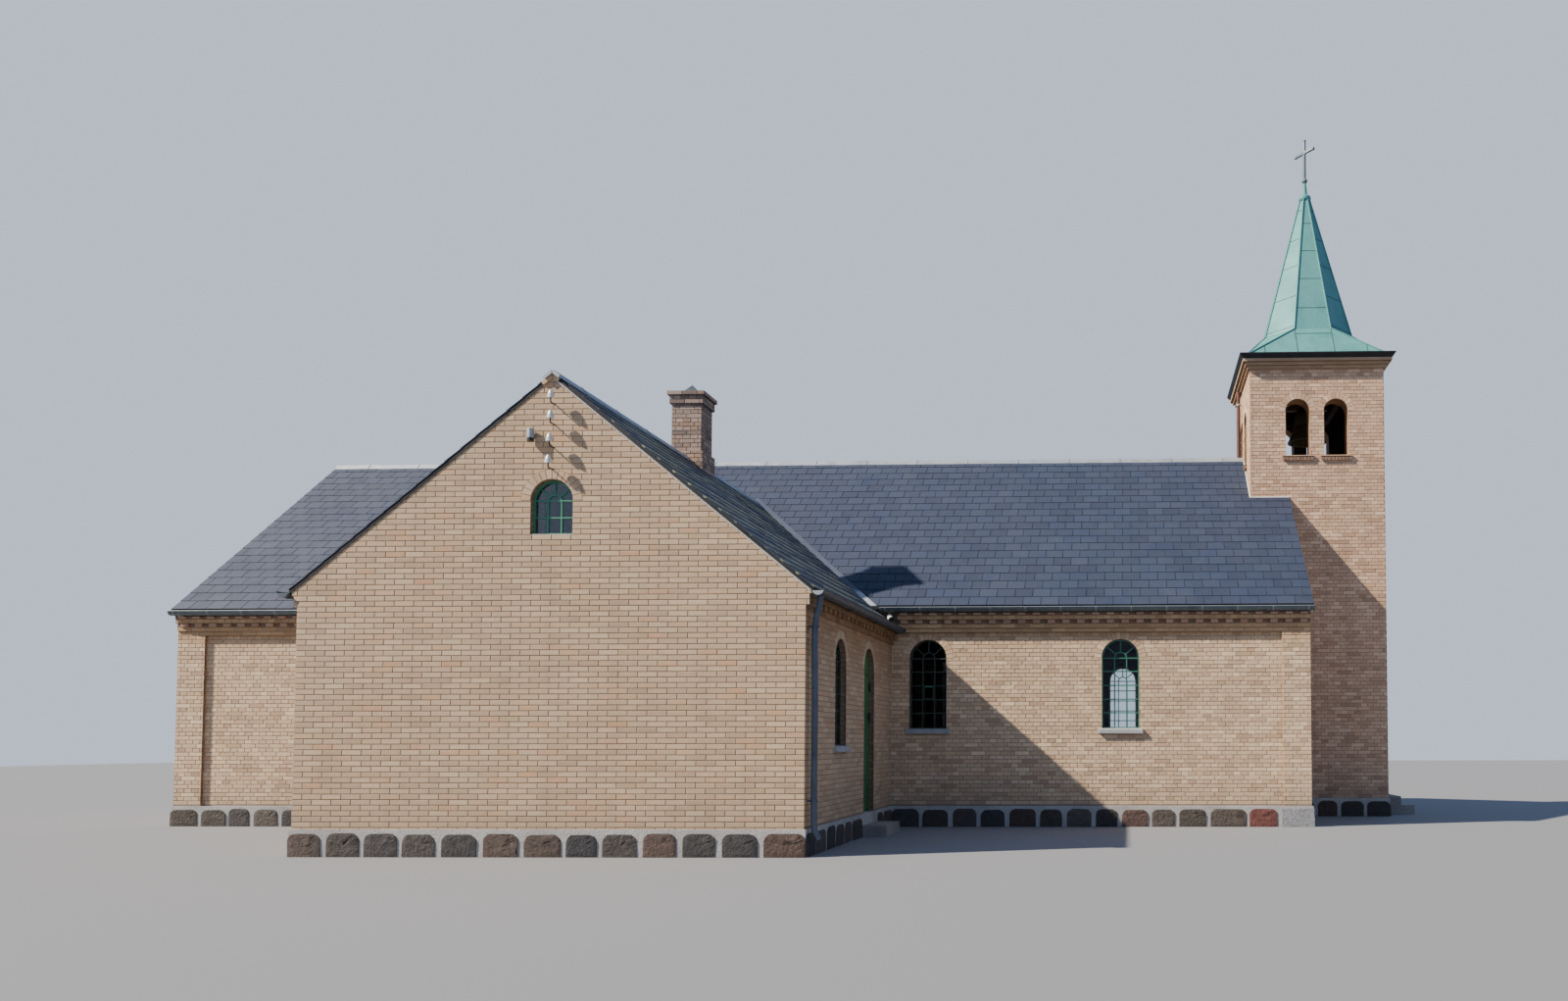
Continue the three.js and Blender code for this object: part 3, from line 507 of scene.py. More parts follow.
# Values that several finishes share; a loose one is of bricks, slates or stones with tones of their own
looseBase = {"islands": True, "grain": 80, "speckle": 0.14, "rough": (0.85, 0.95), "bump": 0.004}
stoneBase = {"grain": 30, "speckle": 0.3, "rough": (0.75, 0.95), "bump": 0.012, "patches": 9}
metalBase = {"metallic": 0.3, "grain": 40, "speckle": 0.1, "rough": (0.45, 0.65), "bump": 0.001,
             "patches": 4}
paintBase = {"grain": 60, "speckle": 0.14, "rough": (0.35, 0.6), "bump": 0.002, "patches": 3}
finishes = {
    "wingBrick": dict(looseBase, grain=90, speckle=0.1, rough=(0.8, 0.95), bump=0.003,
                      tones=((174, 147, 115), (186, 159, 127), (194, 167, 135), (170, 143, 115),
                             (190, 159, 123), (180, 155, 125), (198, 173, 140), (188, 147, 111)),
                      Streaks=(0.14, (122, 104, 86)), Stains=(0.12, (196, 180, 158)),
                      Damp=(0.3, (120, 104, 86))),
    # The nave's bricks take a painted shade under the cornice, darker and yellower above 2.95 m
    "naveBrick": dict(looseBase, grain=70, rough=(0.85, 0.97), bump=0.005,
                      tones=((193, 163, 130), (206, 178, 145), (216, 187, 151), (178, 147, 118),
                             (210, 181, 143), (199, 167, 135), (226, 200, 164), (191, 159, 127)),
                      Streaks=(0.14, (116, 100, 86)), Stains=(0.1, (146, 126, 108)),
                      Damp=(0.35, (104, 94, 84)), paintedShade=(2.95, 3.2, (222, 212, 192))),
    "towerBrick": dict(looseBase, grain=70, rough=(0.85, 0.97), bump=0.005,
                       tones=((191, 155, 124), (205, 170, 139), (214, 178, 145), (174, 138, 110),
                              (209, 172, 137), (198, 159, 129), (227, 193, 159), (188, 150, 120)),
                       Streaks=(0.16, (116, 98, 84)), Stains=(0.14, (140, 118, 100)),
                       Damp=(0.35, (104, 94, 84))),
    # The wing's cornice bricks, dark orange-brown: painted shade of the gutter over them
    "gutterShadeBrick": dict(looseBase, tones=((128, 94, 60), (142, 108, 72), (120, 88, 54), (152, 116, 80)),
                           Stains=(0.2, (92, 66, 44))),
    # The nave's dentils are darker than its wall bricks: painted shade under the gutter
    "dentilShadeBrick": dict(looseBase,
                        tones=((156, 122, 97), (170, 136, 110), (162, 128, 103), (176, 144, 116)),
                        Stains=(0.15, (120, 98, 82))),
    "towerTrimBrick": dict(looseBase,
                           tones=((162, 134, 102), (174, 146, 114), (168, 140, 108), (180, 153, 121)),
                           Stains=(0.2, (110, 92, 80))),
    # Dark strip between the dentils: painted shade of the recess, with some soot
    "recessShade": dict(grain=60, speckle=0.2, rough=(0.9, 0.97), bump=0.003, patches=4,
                   tones=((110, 86, 68), (132, 106, 86))),
    "sillBrick": dict(looseBase, grain=60, speckle=0.2, bump=0.005,
                      tones=((112, 87, 69), (130, 104, 84), (120, 95, 77), (138, 112, 92)),
                      Stains=(0.3, (92, 78, 66))),
    "sootyBrick": dict(looseBase, grain=70, speckle=0.2, rough=(0.85, 0.97), bump=0.005,
                       tones=((132, 115, 104), (160, 138, 122), (146, 117, 98), (174, 154, 137),
                              (108, 94, 87), (172, 141, 114)), Streaks=(0.3, (84, 76, 70)),
                       Stains=(0.25, (96, 86, 78))),
    "slateTile": dict(looseBase, grain=55, speckle=0.1, rough=(0.6, 0.8), bump=0.003,
                      tones=((30, 39, 60), (35, 45, 66), (37, 48, 71), (32, 42, 63), (36, 47, 68),
                             (41, 51, 71), (31, 40, 61)), Streaks=(0.12, (66, 72, 80)),
                      Stains=(0.14, (56, 62, 68))),
    # The wing's right slope: moss along some courses, and a painted shade that darkens it towards the ridge
    "mossyShadedSlate": dict(looseBase, grain=55, speckle=0.1, rough=(0.5, 0.72), bump=0.003,
                       tones=((34, 40, 54), (40, 46, 60), (43, 49, 64), (37, 43, 57), (42, 48, 61),
                              (46, 52, 64), (36, 42, 55)), Streaks=(0.12, (60, 64, 66)),
                       Stains=(0.14, (50, 54, 54)),
                       moss={"colour": (148, 150, 112), "low": 3.227, "course": 0.1553, "share": 0.24},
                       paintedShade=(3.7, 5.2, (158, 162, 172))),
    # Near-black bed under the slates: painted shade on the slates' edges and undersides
    "slateBedShade": dict(grain=40, speckle=0.1, rough=(0.7, 0.9), bump=0.003,
                     tones=((12, 14, 18), (18, 20, 26))),
    "fieldStone": dict(looseBase, grain=26, speckle=0.3, rough=(0.75, 0.95), bump=0.02,
                       tones=((56, 51, 47), (72, 64, 56), (50, 50, 52), (80, 72, 64), (82, 62, 54),
                              (60, 58, 58), (88, 80, 72)), Stains=(0.3, (44, 44, 44))),
    "granite": dict(stoneBase, grain=40, tones=((112, 112, 114), (142, 142, 142), (124, 124, 128))),
    "redGranite": dict(stoneBase, grain=34, speckle=0.34, bump=0.014,
                       tones=((82, 46, 40), (108, 64, 56), (92, 54, 48))),
    "mortar": dict(grain=50, speckle=0.14, rough=(0.9, 0.98), bump=0.01,
                   tones=((160, 158, 154), (186, 184, 180), (170, 168, 164)),
                   Stains=(0.3, (112, 108, 102)), Damp=(0.25, (98, 94, 90))),
    "zincSheet": dict(metalBase, metallic=0.35, grain=30, speckle=0.08, patches=3,
                      tones=((138, 144, 148), (160, 166, 170), (148, 154, 158)),
                      Streaks=(0.25, (112, 116, 118)), Stains=(0.2, (124, 128, 128))),
    "gutterRim": dict(metalBase, tones=((126, 134, 138), (148, 156, 160))),
    # The valley sheets: a painted shade darkens their upper part, where the wing's roof throws its shadow
    "valleySheet": dict(metalBase, metallic=0.35, grain=30, speckle=0.08, patches=3,
                        tones=((146, 152, 156), (166, 172, 176)), paintedShade=(3.82, 3.9, (120, 128, 146))),
    "cowlMetal": dict(metalBase, metallic=0.4, rough=(0.4, 0.6), patches=6,
                      tones=((46, 56, 64), (60, 70, 78))),
    "gutterMetal": dict(metalBase, speckle=0.12, rough=(0.5, 0.7),
                        tones=((74, 84, 88), (98, 108, 112), (86, 96, 100)), Stains=(0.2, (82, 86, 80))),
    "eaveMetal": dict(metalBase, metallic=0.2, speckle=0.12, rough=(0.55, 0.75),
                      tones=((24, 27, 31), (36, 39, 43))),
    "greyPipe": dict(metalBase, rough=(0.4, 0.6), tones=((66, 74, 84), (84, 92, 102), (74, 82, 92)),
                     Stains=(0.25, (60, 62, 64))),
    "redPipe": dict(metalBase, metallic=0.2, speckle=0.14, rough=(0.45, 0.7), bump=0.002,
                    tones=((74, 44, 38), (92, 56, 48), (68, 42, 36)), Stains=(0.3, (58, 42, 38))),
    "verdigris": dict(metallic=0.1, grain=24, speckle=0.09, rough=(0.55, 0.75), bump=0.002, patches=1.2,
                      tones=((66, 127, 124), (84, 146, 142), (74, 136, 134)),
                      Streaks=(0.25, (58, 106, 102)), Stains=(0.3, (104, 158, 150))),
    # The laps are darker than the copper sheets: painted shade under each lap
    "copperSeamShade": dict(metallic=0.1, grain=30, speckle=0.14, rough=(0.55, 0.8), bump=0.002, patches=3,
                       tones=((46, 76, 72), (64, 98, 92)), Streaks=(0.4, (38, 54, 52))),
    "crossMetal": dict(metalBase, metallic=0.2, grain=50, speckle=0.12, patches=6,
                       tones=((92, 108, 112), (116, 130, 132)), Streaks=(0.3, (80, 106, 102))),
    "greenPaint": dict(paintBase, tones=((25, 82, 44), (38, 103, 57), (31, 93, 50)),
                       Streaks=(0.15, (60, 108, 82)), Stains=(0.12, (56, 92, 70))),
    "tealPaint": dict(paintBase, tones=((40, 98, 78), (56, 118, 96)), Stains=(0.2, (76, 116, 100))),
    # Green paint darkened as painted shade, for bars that stand in shadow
    "shadedGreenPaint": dict(paintBase, tones=((24, 46, 38), (36, 60, 50)), Stains=(0.2, (60, 66, 60))),
    "paleGreenPaint": dict(paintBase, tones=((46, 124, 92), (64, 142, 108)), Stains=(0.2, (84, 140, 120))),
    "blackIron": dict(metallic=0.5, grain=60, speckle=0.2, rough=(0.5, 0.75), bump=0.002, patches=5,
                      tones=((36, 36, 38), (54, 52, 52)), Stains=(0.3, (84, 60, 46))),
    "bellBronze": dict(metalBase, metallic=0.75, grain=30, speckle=0.15, rough=(0.4, 0.65), patches=3,
                       tones=((92, 74, 50), (112, 96, 66), (84, 92, 72)), Streaks=(0.3, (74, 98, 82))),
    "roughTimber": dict(grain=40, speckle=0.2, rough=(0.75, 0.92), bump=0.004, patches=6,
                        stretch=(0.15, 1, 1), tones=((54, 40, 30), (70, 54, 39), (45, 34, 25))),
    "sillStone": dict(grain=60, speckle=0.1, rough=(0.7, 0.9), bump=0.003, patches=3,
                      tones=((142, 145, 146), (168, 171, 172)), Streaks=(0.3, (110, 112, 114)),
                      Stains=(0.2, (176, 174, 168))),
    "stepStone": dict(stoneBase, speckle=0.16, rough=(0.75, 0.92), bump=0.006, patches=2,
                      tones=((120, 116, 110), (142, 138, 132), (130, 124, 118)),
                      Stains=(0.3, (88, 84, 80))),
    "porcelain": dict(grain=60, speckle=0.04, rough=(0.12, 0.25), bump=0.0003, patches=8,
                      tones=((206, 206, 200), (220, 220, 216)), Streaks=(0.3, (160, 156, 146))),
}
# The wing's side walls: darker and warmer under the eaves, a painted shade
finishes["wingSideBrick"] = dict(finishes["wingBrick"], paintedShade=(2.2, 2.96, (216, 200, 180)))
for name, look in finishes.items():
    makeFinish(name, look)


# Mortar on a wall's faces, coursed brick on its reveals and returns, darkened there by the revealShade tint
# as a painted shade. along is the axis of the wall.
def makeWall(name, along, look):
    tree, shader = newMaterial(name)
    spots = newNode(tree, "ShaderNodeTexCoord").outputs
    facing = newNode(tree, "ShaderNodeSeparateXYZ")
    feed(tree, facing.inputs[0], spots["Normal"])
    spot = newNode(tree, "ShaderNodeSeparateXYZ")
    feed(tree, spot.inputs[0], spots["Object"])
    across = "Y" if along == "X" else "X"
    onFace = maths(tree, "GREATER_THAN", maths(tree, "ABSOLUTE", facing.outputs[across]), 0.7)
    grid = newNode(tree, "ShaderNodeCombineXYZ")
    feed(tree, grid.inputs[0], spot.outputs[across])
    feed(tree, grid.inputs[1], maths(tree, "SUBTRACT", spot.outputs["Z"], plinthTop - 0.006))
    bricks = newNode(tree, "ShaderNodeTexBrick", offset=0.5)
    feed(tree, bricks.inputs["Vector"], grid.outputs[0])
    for label, value in (("Color1", look["dark"]), ("Color2", look["light"]), ("Mortar", look["joint"]),
                         ("Scale", 1), ("Mortar Size", 0.006), ("Mortar Smooth", 0.2), ("Bias", 0.0),
                         ("Brick Width", module), ("Row Height", course)):
        bricks.inputs[label].default_value = value
    # Reveals and returns: brick times the revealShade tint, a painted shade
    revealShade = mixed(tree, "MULTIPLY", 1.0, bricks.outputs["Color"], look["revealShade"])
    inward = maths(tree, "MULTIPLY", facing.outputs[across], spot.outputs[across])
    inside = maths(tree, "MULTIPLY", maths(tree, "LESS_THAN", inward, 0.0), look.get("dim", 0.0))
    face = mixed(tree, "MIX", inside, look["joint"], look["plaster"])
    colour = mixed(tree, "MIX", onFace, revealShade, face)
    colour, grain = weatheredAndShaded(tree, colour, look)
    feed(tree, shader.inputs["Base Color"], colour)
    feed(tree, shader.inputs["Roughness"], ranged(tree, grain["Broad"], 0.3, 0.7, 0.85, 0.97))
    gap = maths(tree, "MULTIPLY", bricks.outputs["Fac"], maths(tree, "SUBTRACT", onFace, 1.0))
    bumped(tree, shader, maths(tree, "MULTIPLY_ADD", grain["Fine"], 0.3, gap), 0.006)


wallBase = {"revealShade": tone(255, 255, 255), "plaster": tone(96, 86, 78), "grain": 80, "speckle": 0.14}
# revealShade darkens the brick of reveals and returns, a painted shade
wallLooks = {
    "wingWall": dict(wallBase, dark=tone(168, 142, 114), light=tone(186, 162, 132), joint=tone(146, 126, 104),
                     revealShade=tone(196, 190, 184), plaster=tone(84, 78, 72), dim=1.0, Damp=(0.3, (96, 86, 74))),
    "naveWall": dict(wallBase, dark=tone(174, 148, 124), light=tone(196, 170, 144), joint=tone(150, 130, 112),
                     revealShade=tone(206, 186, 160), plaster=tone(58, 54, 50), dim=1.0, grain=70, speckle=0.16,
                     Damp=(0.3, (90, 82, 72))),
    "stackWall": dict(wallBase, dark=tone(126, 106, 94), light=tone(152, 130, 114), joint=tone(96, 86, 78),
                      grain=70, speckle=0.2, Streaks=(0.3, (76, 68, 62))),
}
for name, look in wallLooks.items():
    makeWall(name + "X", "X", look)
    makeWall(name + "Y", "Y", dict(look, dim=0.0))


# Flags or boards: a grid of long tiles over one level surface
def makeFlooring(name, look):
    tree, shader = newMaterial(name)
    place = newNode(tree, "ShaderNodeTexCoord").outputs["Object"]
    tiles = newNode(tree, "ShaderNodeTexBrick", offset=0.5)
    feed(tree, tiles.inputs["Vector"], place)
    for label, value in (("Color1", look["dark"]), ("Color2", look["light"]), ("Mortar", look["gap"]),
                         ("Scale", 1), ("Mortar Size", 0.004), ("Mortar Smooth", 0.1), ("Bias", 0.0),
                         ("Brick Width", look["long"]), ("Row Height", look["wide"])):
        tiles.inputs[label].default_value = value
    colour, grain = weatheredAndShaded(tree, tiles.outputs["Color"], look)
    feed(tree, shader.inputs["Base Color"], colour)
    feed(tree, shader.inputs["Roughness"], ranged(tree, grain["Broad"], 0.3, 0.7, 0.6, 0.85))
    bumped(tree, shader, maths(tree, "SUBTRACT", grain["Fine"], tiles.outputs["Fac"]), 0.003)


makeFlooring("flagstones", {"dark": tone(84, 79, 72), "light": tone(104, 98, 90), "gap": tone(56, 53, 49),
                            "long": 0.6, "wide": 0.4, "grain": 40, "speckle": 0.1})
makeFlooring("floorBoards", {"dark": tone(92, 70, 50), "light": tone(118, 92, 66), "gap": tone(40, 32, 26),
                             "long": 1.6, "wide": 0.16, "grain": 50, "speckle": 0.16})


# Window glass, slightly dusty
def makeGlass(name, bend):
    tree, shader = newMaterial(name)
    shader.inputs["Transmission Weight"].default_value = 1.0
    shader.inputs["IOR"].default_value = bend
    grain = placedGroup(tree, grainGroup, 12)
    tint = ramp(tree, grain["Fine"], spread((230, 236, 237), (242, 246, 246)))
    feed(tree, shader.inputs["Base Color"], tint)
    feed(tree, shader.inputs["Roughness"], ranged(tree, grain["Broad"], 0.3, 0.7, 0.0, 0.015))


makeGlass("windowGlass", 1.25)
makeGlass("gableGlass", 1.7)
print("materials made")

# Plain pale floor of the studio
floorLook = {"half": 60, "colour": (122, 123, 124)}
deselectAll()
bpy.ops.mesh.primitive_plane_add(size=2 * floorLook["half"], location=(0, 0, -0.002))
studioFloor = applyPlace(bpy.context.object)
studioFloor.name = "studio_floor"
tree, shader = newMaterial("studioFloor")
shader.inputs["Base Color"].default_value = tone(*floorLook["colour"])
shader.inputs["Roughness"].default_value = 0.9
studioFloor.data.materials.append(materials["studioFloor"])

# Finishes of the CAD nodes that stay
nodeFinish = {
    "mortar": ("plinth",),
    "flagstones": ("nave_floor", "wing_floor", "tower_floor"),
    "floorBoards": ("belfry_floor",),
    "naveWallX": ("nave_front_wall", "nave_back_wall", "tower_front_wall", "tower_back_wall",
                  "tower_cornice"),
    "naveWallY": ("nave_east_gable", "nave_west_wall_front", "nave_west_wall_back", "tower_east_wall",
                  "tower_west_wall", "tower_inner_pier_front", "tower_inner_pier_back"),
    "wingWallX": ("wing_gable_wall",),
    "wingWallY": ("wing_left_wall", "wing_right_wall", "wing_right_pier", "side_door_arch"),
    "stackWallX": ("chimney",),
    "windowGlass": ("nave_back_glazing",),
    "greenPaint": ("side_door_frame", "side_door", "tower_door"),
    "stepStone": ("side_door_step", "tower_steps"),
    # The roofs' near-black bed is a painted shade at the slates' edges
    "slateBedShade": ("nave_roof_front", "nave_roof_back", "wing_roof_left", "wing_roof_right"),
    "zincSheet": ("nave_ridge_cap", "wing_ridge_cap_front", "wing_ridge_cap_back", "valley_left",
                  "valley_right"),
    "cowlMetal": ("chimney_cowl",),
    "gutterMetal": ("nave_gutter_right", "nave_gutter_left", "nave_gutter_back"),
    "eaveMetal": ("tower_eave",),
    "greyPipe": ("wing_gutter_right", "wing_gutter_left", "wing_downpipe"),
    "redPipe": ("tower_downpipe",),
    "verdigris": ("spire",),
    "bellBronze": ("bell",),
    "roughTimber": ("bell_frame",),
}
for label, names in nodeFinish.items():
    for name in names:
        mesh = nodes[name].data
        mesh.materials.clear()
        mesh.materials.append(materials[label])


# Brickwork

brickLook = {"proud": 0.004, "bed": 0.010, "joint": 0.009, "edge": 0.004, "dip": 0.0015}
# Each bond lists its rows: a brick's length with its joint, the row's shift and its place in the repeat
bonds = {
    "stretcher": (2, ((module, 0.0, 0), (module, 0.12, 1))),
    "cross": (4, ((module, 0.0, 0), (0.12, 0.06, 1), (module, 0.12, 2), (0.12, 0.06, 3))),
    "header": (2, ((0.12, 0.0, 0), (0.12, 0.06, 1))),
}


# One brick with a rounded face, the corner of its joint at the origin
def brickUnit(pitch):
    half = brickLook["joint"] / 2
    unit = block((half, -brickLook["proud"], half), (pitch - half, brickLook["bed"], course - half))
    pickFaces(unit, lambda face: face.normal.y < -0.9)
    bpy.ops.mesh.inset(thickness=brickLook["edge"], depth=brickLook["dip"])
    closeEdit()
    return unit


def brickRows(bond, area, start, level):
    u0, u1, z0, z1 = area
    cycle, rows = bonds[bond]
    first = math.floor((z0 - level) / course + 0.001)
    first -= first % cycle
    parts = []
    for pitch, shift, place in rows:
        skip = math.floor((u0 - start - shift) / pitch) - 1
        unit = moveTo(brickUnit(pitch), start + shift + skip * pitch, 0, level + (first + place) * course)
        repeated(unit, math.ceil((u1 - u0) / pitch) + 3, (pitch, 0, 0))
        repeated(unit, math.ceil((z1 - level) / course / cycle - first / cycle) + 1, (0, 0, cycle * course))
        parts.append(unit)
    return joined(parts)


# A round-headed slab between two depths
def archSlab(width, low, top, near, far, sides=40):
    half = width / 2
    body = block((-half, near, low), (half, far, top - half))
    head = rod((0, near, top - half), (0, far, top - half), half, sides)
    return boolean(body, head, "UNION")


archLook = {"deep": 0.112, "gap": 0.003, "pitch": 0.060, "joint": 0.007, "proud": 0.005}


# Wedge-shaped bricks on edge round the head of an opening
def archRing(centre, width, top):
    radius = width / 2
    count = round(math.pi * radius / archLook["pitch"])
    step = math.pi / count
    inner = radius + archLook["gap"]
    outer = inner + archLook["deep"]
    thick = inner * step - archLook["joint"]
    unit = block((inner, -archLook["proud"], -thick / 2), (outer, brickLook["bed"], thick / 2))
    pickFaces(unit, lambda face: face.normal.x > 0.9)
    bpy.ops.transform.resize(value=(1, 1, (outer * step - archLook["joint"]) / thick))
    closeEdit()
    pickFaces(unit, lambda face: face.normal.y < -0.9)
    bpy.ops.mesh.inset(thickness=brickLook["edge"], depth=brickLook["dip"])
    closeEdit()
    moveBy(unit, Matrix.Rotation(-step / 2, 4, "Y"))
    openEdit(unit)
    bpy.ops.mesh.spin(steps=count - 1, dupli=True, angle=step * (count - 1), center=(0, 0, 0), axis=(0, 1, 0))
    closeEdit()
    return moveTo(unit, centre, 0, top - radius)


# The bricks of one face of a wall: areas are (u0, u1, z0, z1) along the wall as seen from outside,
# arches are (centre, width, sill, top), and slopes are planes that trim the outline
def brickFace(facing, face, areas, bond="cross", arches=(), slopes=(), start=None, level=plinthTop,
              rough=0.001):
    low = [min(area[k] for area in areas) for k in (0, 2)]
    high = [max(area[k] for area in areas) for k in (1, 3)]
    start = areas[0][0] if start is None else start
    rows = roughen(brickRows(bond, (low[0], high[0], low[1], high[1]), start, level), rough, len(areas))
    tool = None
    for u0, u1, z0, z1 in areas:
        part = block((u0, -0.05, z0), (u1, 0.05, z1))
        tool = boolean(tool, part, "UNION") if tool else part
    for point, normal in slopes:
        cutPlane(tool, point, normal)
    rings = []
    for centre, width, sill, top in arches:
        spring = top - width / 2
        boolean(tool, moveTo(archSlab(width, sill, top, -0.1, 0.1), centre, 0, 0), "DIFFERENCE")
        ring = rod((centre, -0.1, spring), (centre, 0.1, spring),
                   width / 2 + archLook["deep"] + 3 * archLook["gap"], 48)
        boolean(tool, cutPlane(ring, (centre, 0, spring), (0, 0, -1)), "DIFFERENCE")
        rings.append(onWall(archRing(centre, width, top), facing, face))
    boolean(rows, tool, "INTERSECT")
    return onWall(rows, facing, face), rings


# Measures of the nave, the wing and the tower: corbels are how far two courses stand out of a wall,
# and an opening is given by its width, its sill and the top of its arch
naveLook = {"half": 9.354, "deep": 3.894, "panel": 3.844, "pilaster": 0.455, "cornice": 3.218,
            "corbels": (0.025, 0.075), "ridge": 6.890, "slope": 0.8285, "slate": 0.0523, "eave": 3.999,
            "courses": 21, "gable": 6.84, "window": (0.608, 1.574, 3.033), "step": 3.144}
wingLook = {"left": -3.683, "right": 2.545, "front": -8.982, "cornice": 2.953, "ridge": 5.868,
            "slope": 0.8216, "middle": -0.569, "corbels": (0.025, 0.070), "gable": (0.520, 3.885, 4.562),
            "level": 0.3517, "over": 0.08, "peak": 5.86, "verge": 0.014, "reach": 3.214, "courses": 17,
            "wall": 0.35,
            "window": (0.592, 1.310, 2.758), "windowY": -7.247, "door": (0.671, 0.331, 2.758),
            "doorY": -5.509}
towerLook = {"middle": 9.924, "half": 1.234, "top": 8.28, "roofLine": 5.868,
             "belfry": (0.45, 6.65, 7.714), "apart": 0.354, "door": (1.0, 0.331, 2.78)}
sideDoor = {"near": -5.8445, "far": -5.1735, "hinge": (2.486, -5.2219)}
valleyLook = {"wide": 0.12, "under": 0.008, "past": 4.1}


def buildWingBricks():
    left, right, front = wingLook["left"], wingLook["right"], wingLook["front"]
    over = wingLook["over"]
    bricks, rings = brickFace("front", front, [(left - over, right + over, plinthTop, wingLook["peak"])],
                              "stretcher", [(wingLook["middle"], *wingLook["gable"])], start=left,
                              level=wingLook["level"])
    boolean(bricks, nodeCopy("wing_gable_wall", (0, -0.02, 0)), "INTERSECT")
    done(bricks, "wing_gable_bricks", "wingBrick")
    back, low = -naveLook["panel"], wingLook["cornice"]
    for side, facing, face in ((1, "right", right), (-1, "left", left)):
        span = (front, back) if side == 1 else (-back, -front)
        arches = [(side * wingLook["windowY"], *wingLook["window"])]
        if side == 1:
            arches.append((wingLook["doorY"], *wingLook["door"]))
        bricks, more = brickFace(facing, face, [(*span, wingLook["level"], low)], "stretcher", arches,
                                 start=span[0], level=wingLook["level"])
        done(bricks, f"wing_{facing}_bricks", "wingSideBrick")
        rings += more
        inner = (front + wingLook["wall"], back) if side == 1 else (-back, -front - wingLook["wall"])
        near, far = [face + side * out for out in wingLook["corbels"]]
        band, _ = brickFace(facing, near, [(*inner, low, low + course)], "stretcher", level=low)
        top, _ = brickFace(facing, far, [(*inner, low + 2 * course, low + 3 * course)], "header", level=low)
        # The cornice and its dentils take the gutter's painted shade
        done([band, top], f"wing_{facing}_cornice_bricks", "gutterShadeBrick")
        dentils, recessShade = dentilRow(*inner, low + course, 0.062)
        done(onWall(dentils, facing, near), f"wing_{facing}_dentils", "gutterShadeBrick")
        done(onWall(recessShade, facing, near), f"wing_{facing}_dentil_shade_strip", "recessShade")
    done(rings, "wing_arch_bricks", "wingBrick")


# Headers standing out under the top course of a cornice, and a dark strip on the wall between them, painted
# shade with some soot
def dentilRow(u0, u1, low, high, out=0.044):
    look = {"wide": 0.118, "joint": 0.004, "back": 0.005}
    count = round((u1 - u0) / module)
    unit = block((0, -out, low + look["joint"]), (look["wide"], 0.008, low + high))
    unit = moveTo(softened(unit, 0.004), (u0 + u1 - count * module + module - look["wide"]) / 2, 0, 0)
    recessShade = block((u0 + 0.002, -look["back"], low), (u1 - 0.002, 0.004, low + high + look["joint"]))
    pickFaces(recessShade, lambda face: face.normal.y < -0.9)
    bpy.ops.mesh.inset(thickness=0.002, depth=-0.001)
    closeEdit()
    return roughen(repeated(unit, count, (module, 0, 0)), 0.0015, 5), recessShade


def buildNaveBricks():
    half, deep, panel = naveLook["half"], naveLook["deep"], naveLook["panel"]
    low, inner, step = naveLook["cornice"], half - naveLook["pilaster"], naveLook["step"]
    level, high = low - 43 * course, low - course
    plans = {
        "front": {"panels": ((-inner, wingLook["left"]), (wingLook["right"], inner)),
                  "windows": (-2 * step, step, 2 * step),
                  "levelRuns": ((-inner, -3.925), (2.787, inner)), "runs": ((-half, -3.795), (2.657, half))},
        "back": {"panels": ((-inner, inner),), "windows": [k * step for k in (-2, -1, 0, 1, 2)],
                 "levelRuns": ((-inner, inner),), "runs": ((-half, half),)},
    }
    for facing, plan in plans.items():
        side = -1 if facing == "front" else 1
        areas = [(u0, u1, level, high) for u0, u1 in plan["panels"]]
        arches = [(spot, *naveLook["window"]) for spot in plan["windows"]]
        field, rings = brickFace(facing, side * panel, areas, "cross", arches, start=-half, level=level,
                                 rough=0.002)
        done(field, f"nave_{facing}_bricks", "naveBrick")
        done(rings, f"nave_{facing}_arch_bricks", "naveBrick")
        ends = [(-half, -inner, level, low), (inner, half, level, low)]
        ends += [(u0, u1, high, low) for u0, u1 in plan["levelRuns"]]
        parts = [brickFace(facing, side * deep, ends, "cross", level=level, rough=0.002)[0]]
        dentils, recessShades = [], []
        near, far = [side * (deep + out) for out in naveLook["corbels"]]
        for u0, u1 in plan["runs"]:
            parts.append(brickFace(facing, near, [(u0, u1, low, low + course)], "cross", level=low,
                                   rough=0.002)[0])
            parts.append(brickFace(facing, far, [(u0, u1, low + 2 * course, low + 3 * course)], "header",
                                   level=low)[0])
            for corbel, z, tall in ((near, low + course, 0.062), (far, low + 3 * course, 0.041)):
                row, recessShade = dentilRow(u0, u1, z, tall)
                dentils.append(onWall(row, facing, corbel))
                recessShades.append(onWall(recessShade, facing, corbel))
        done(parts, f"nave_{facing}_trim_bricks", "naveBrick")
        # The dentils and the strip between them are darkened as painted shade
        done(dentils, f"nave_{facing}_dentils", "dentilShadeBrick")
        done(recessShades, f"nave_{facing}_dentil_shade_strip", "recessShade")
    slopes = []
    for side in (-1, 1):
        slopes.append(((0, 0, naveLook["ridge"] - naveLook["slate"]), (side * naveLook["slope"], 0, 1)))
    top, tower = naveLook["gable"], towerLook["half"]
    for facing, face, areas in (("left", -half, [(-deep, deep, plinthTop, top)]),
                                ("right", half, [(-deep, -tower, plinthTop, top),
                                                 (tower, deep, plinthTop, top)])):
        field, _ = brickFace(facing, face, areas, "cross", slopes=slopes, start=-deep, rough=0.002)
        done(field, f"nave_{facing}_end_bricks", "towerBrick")


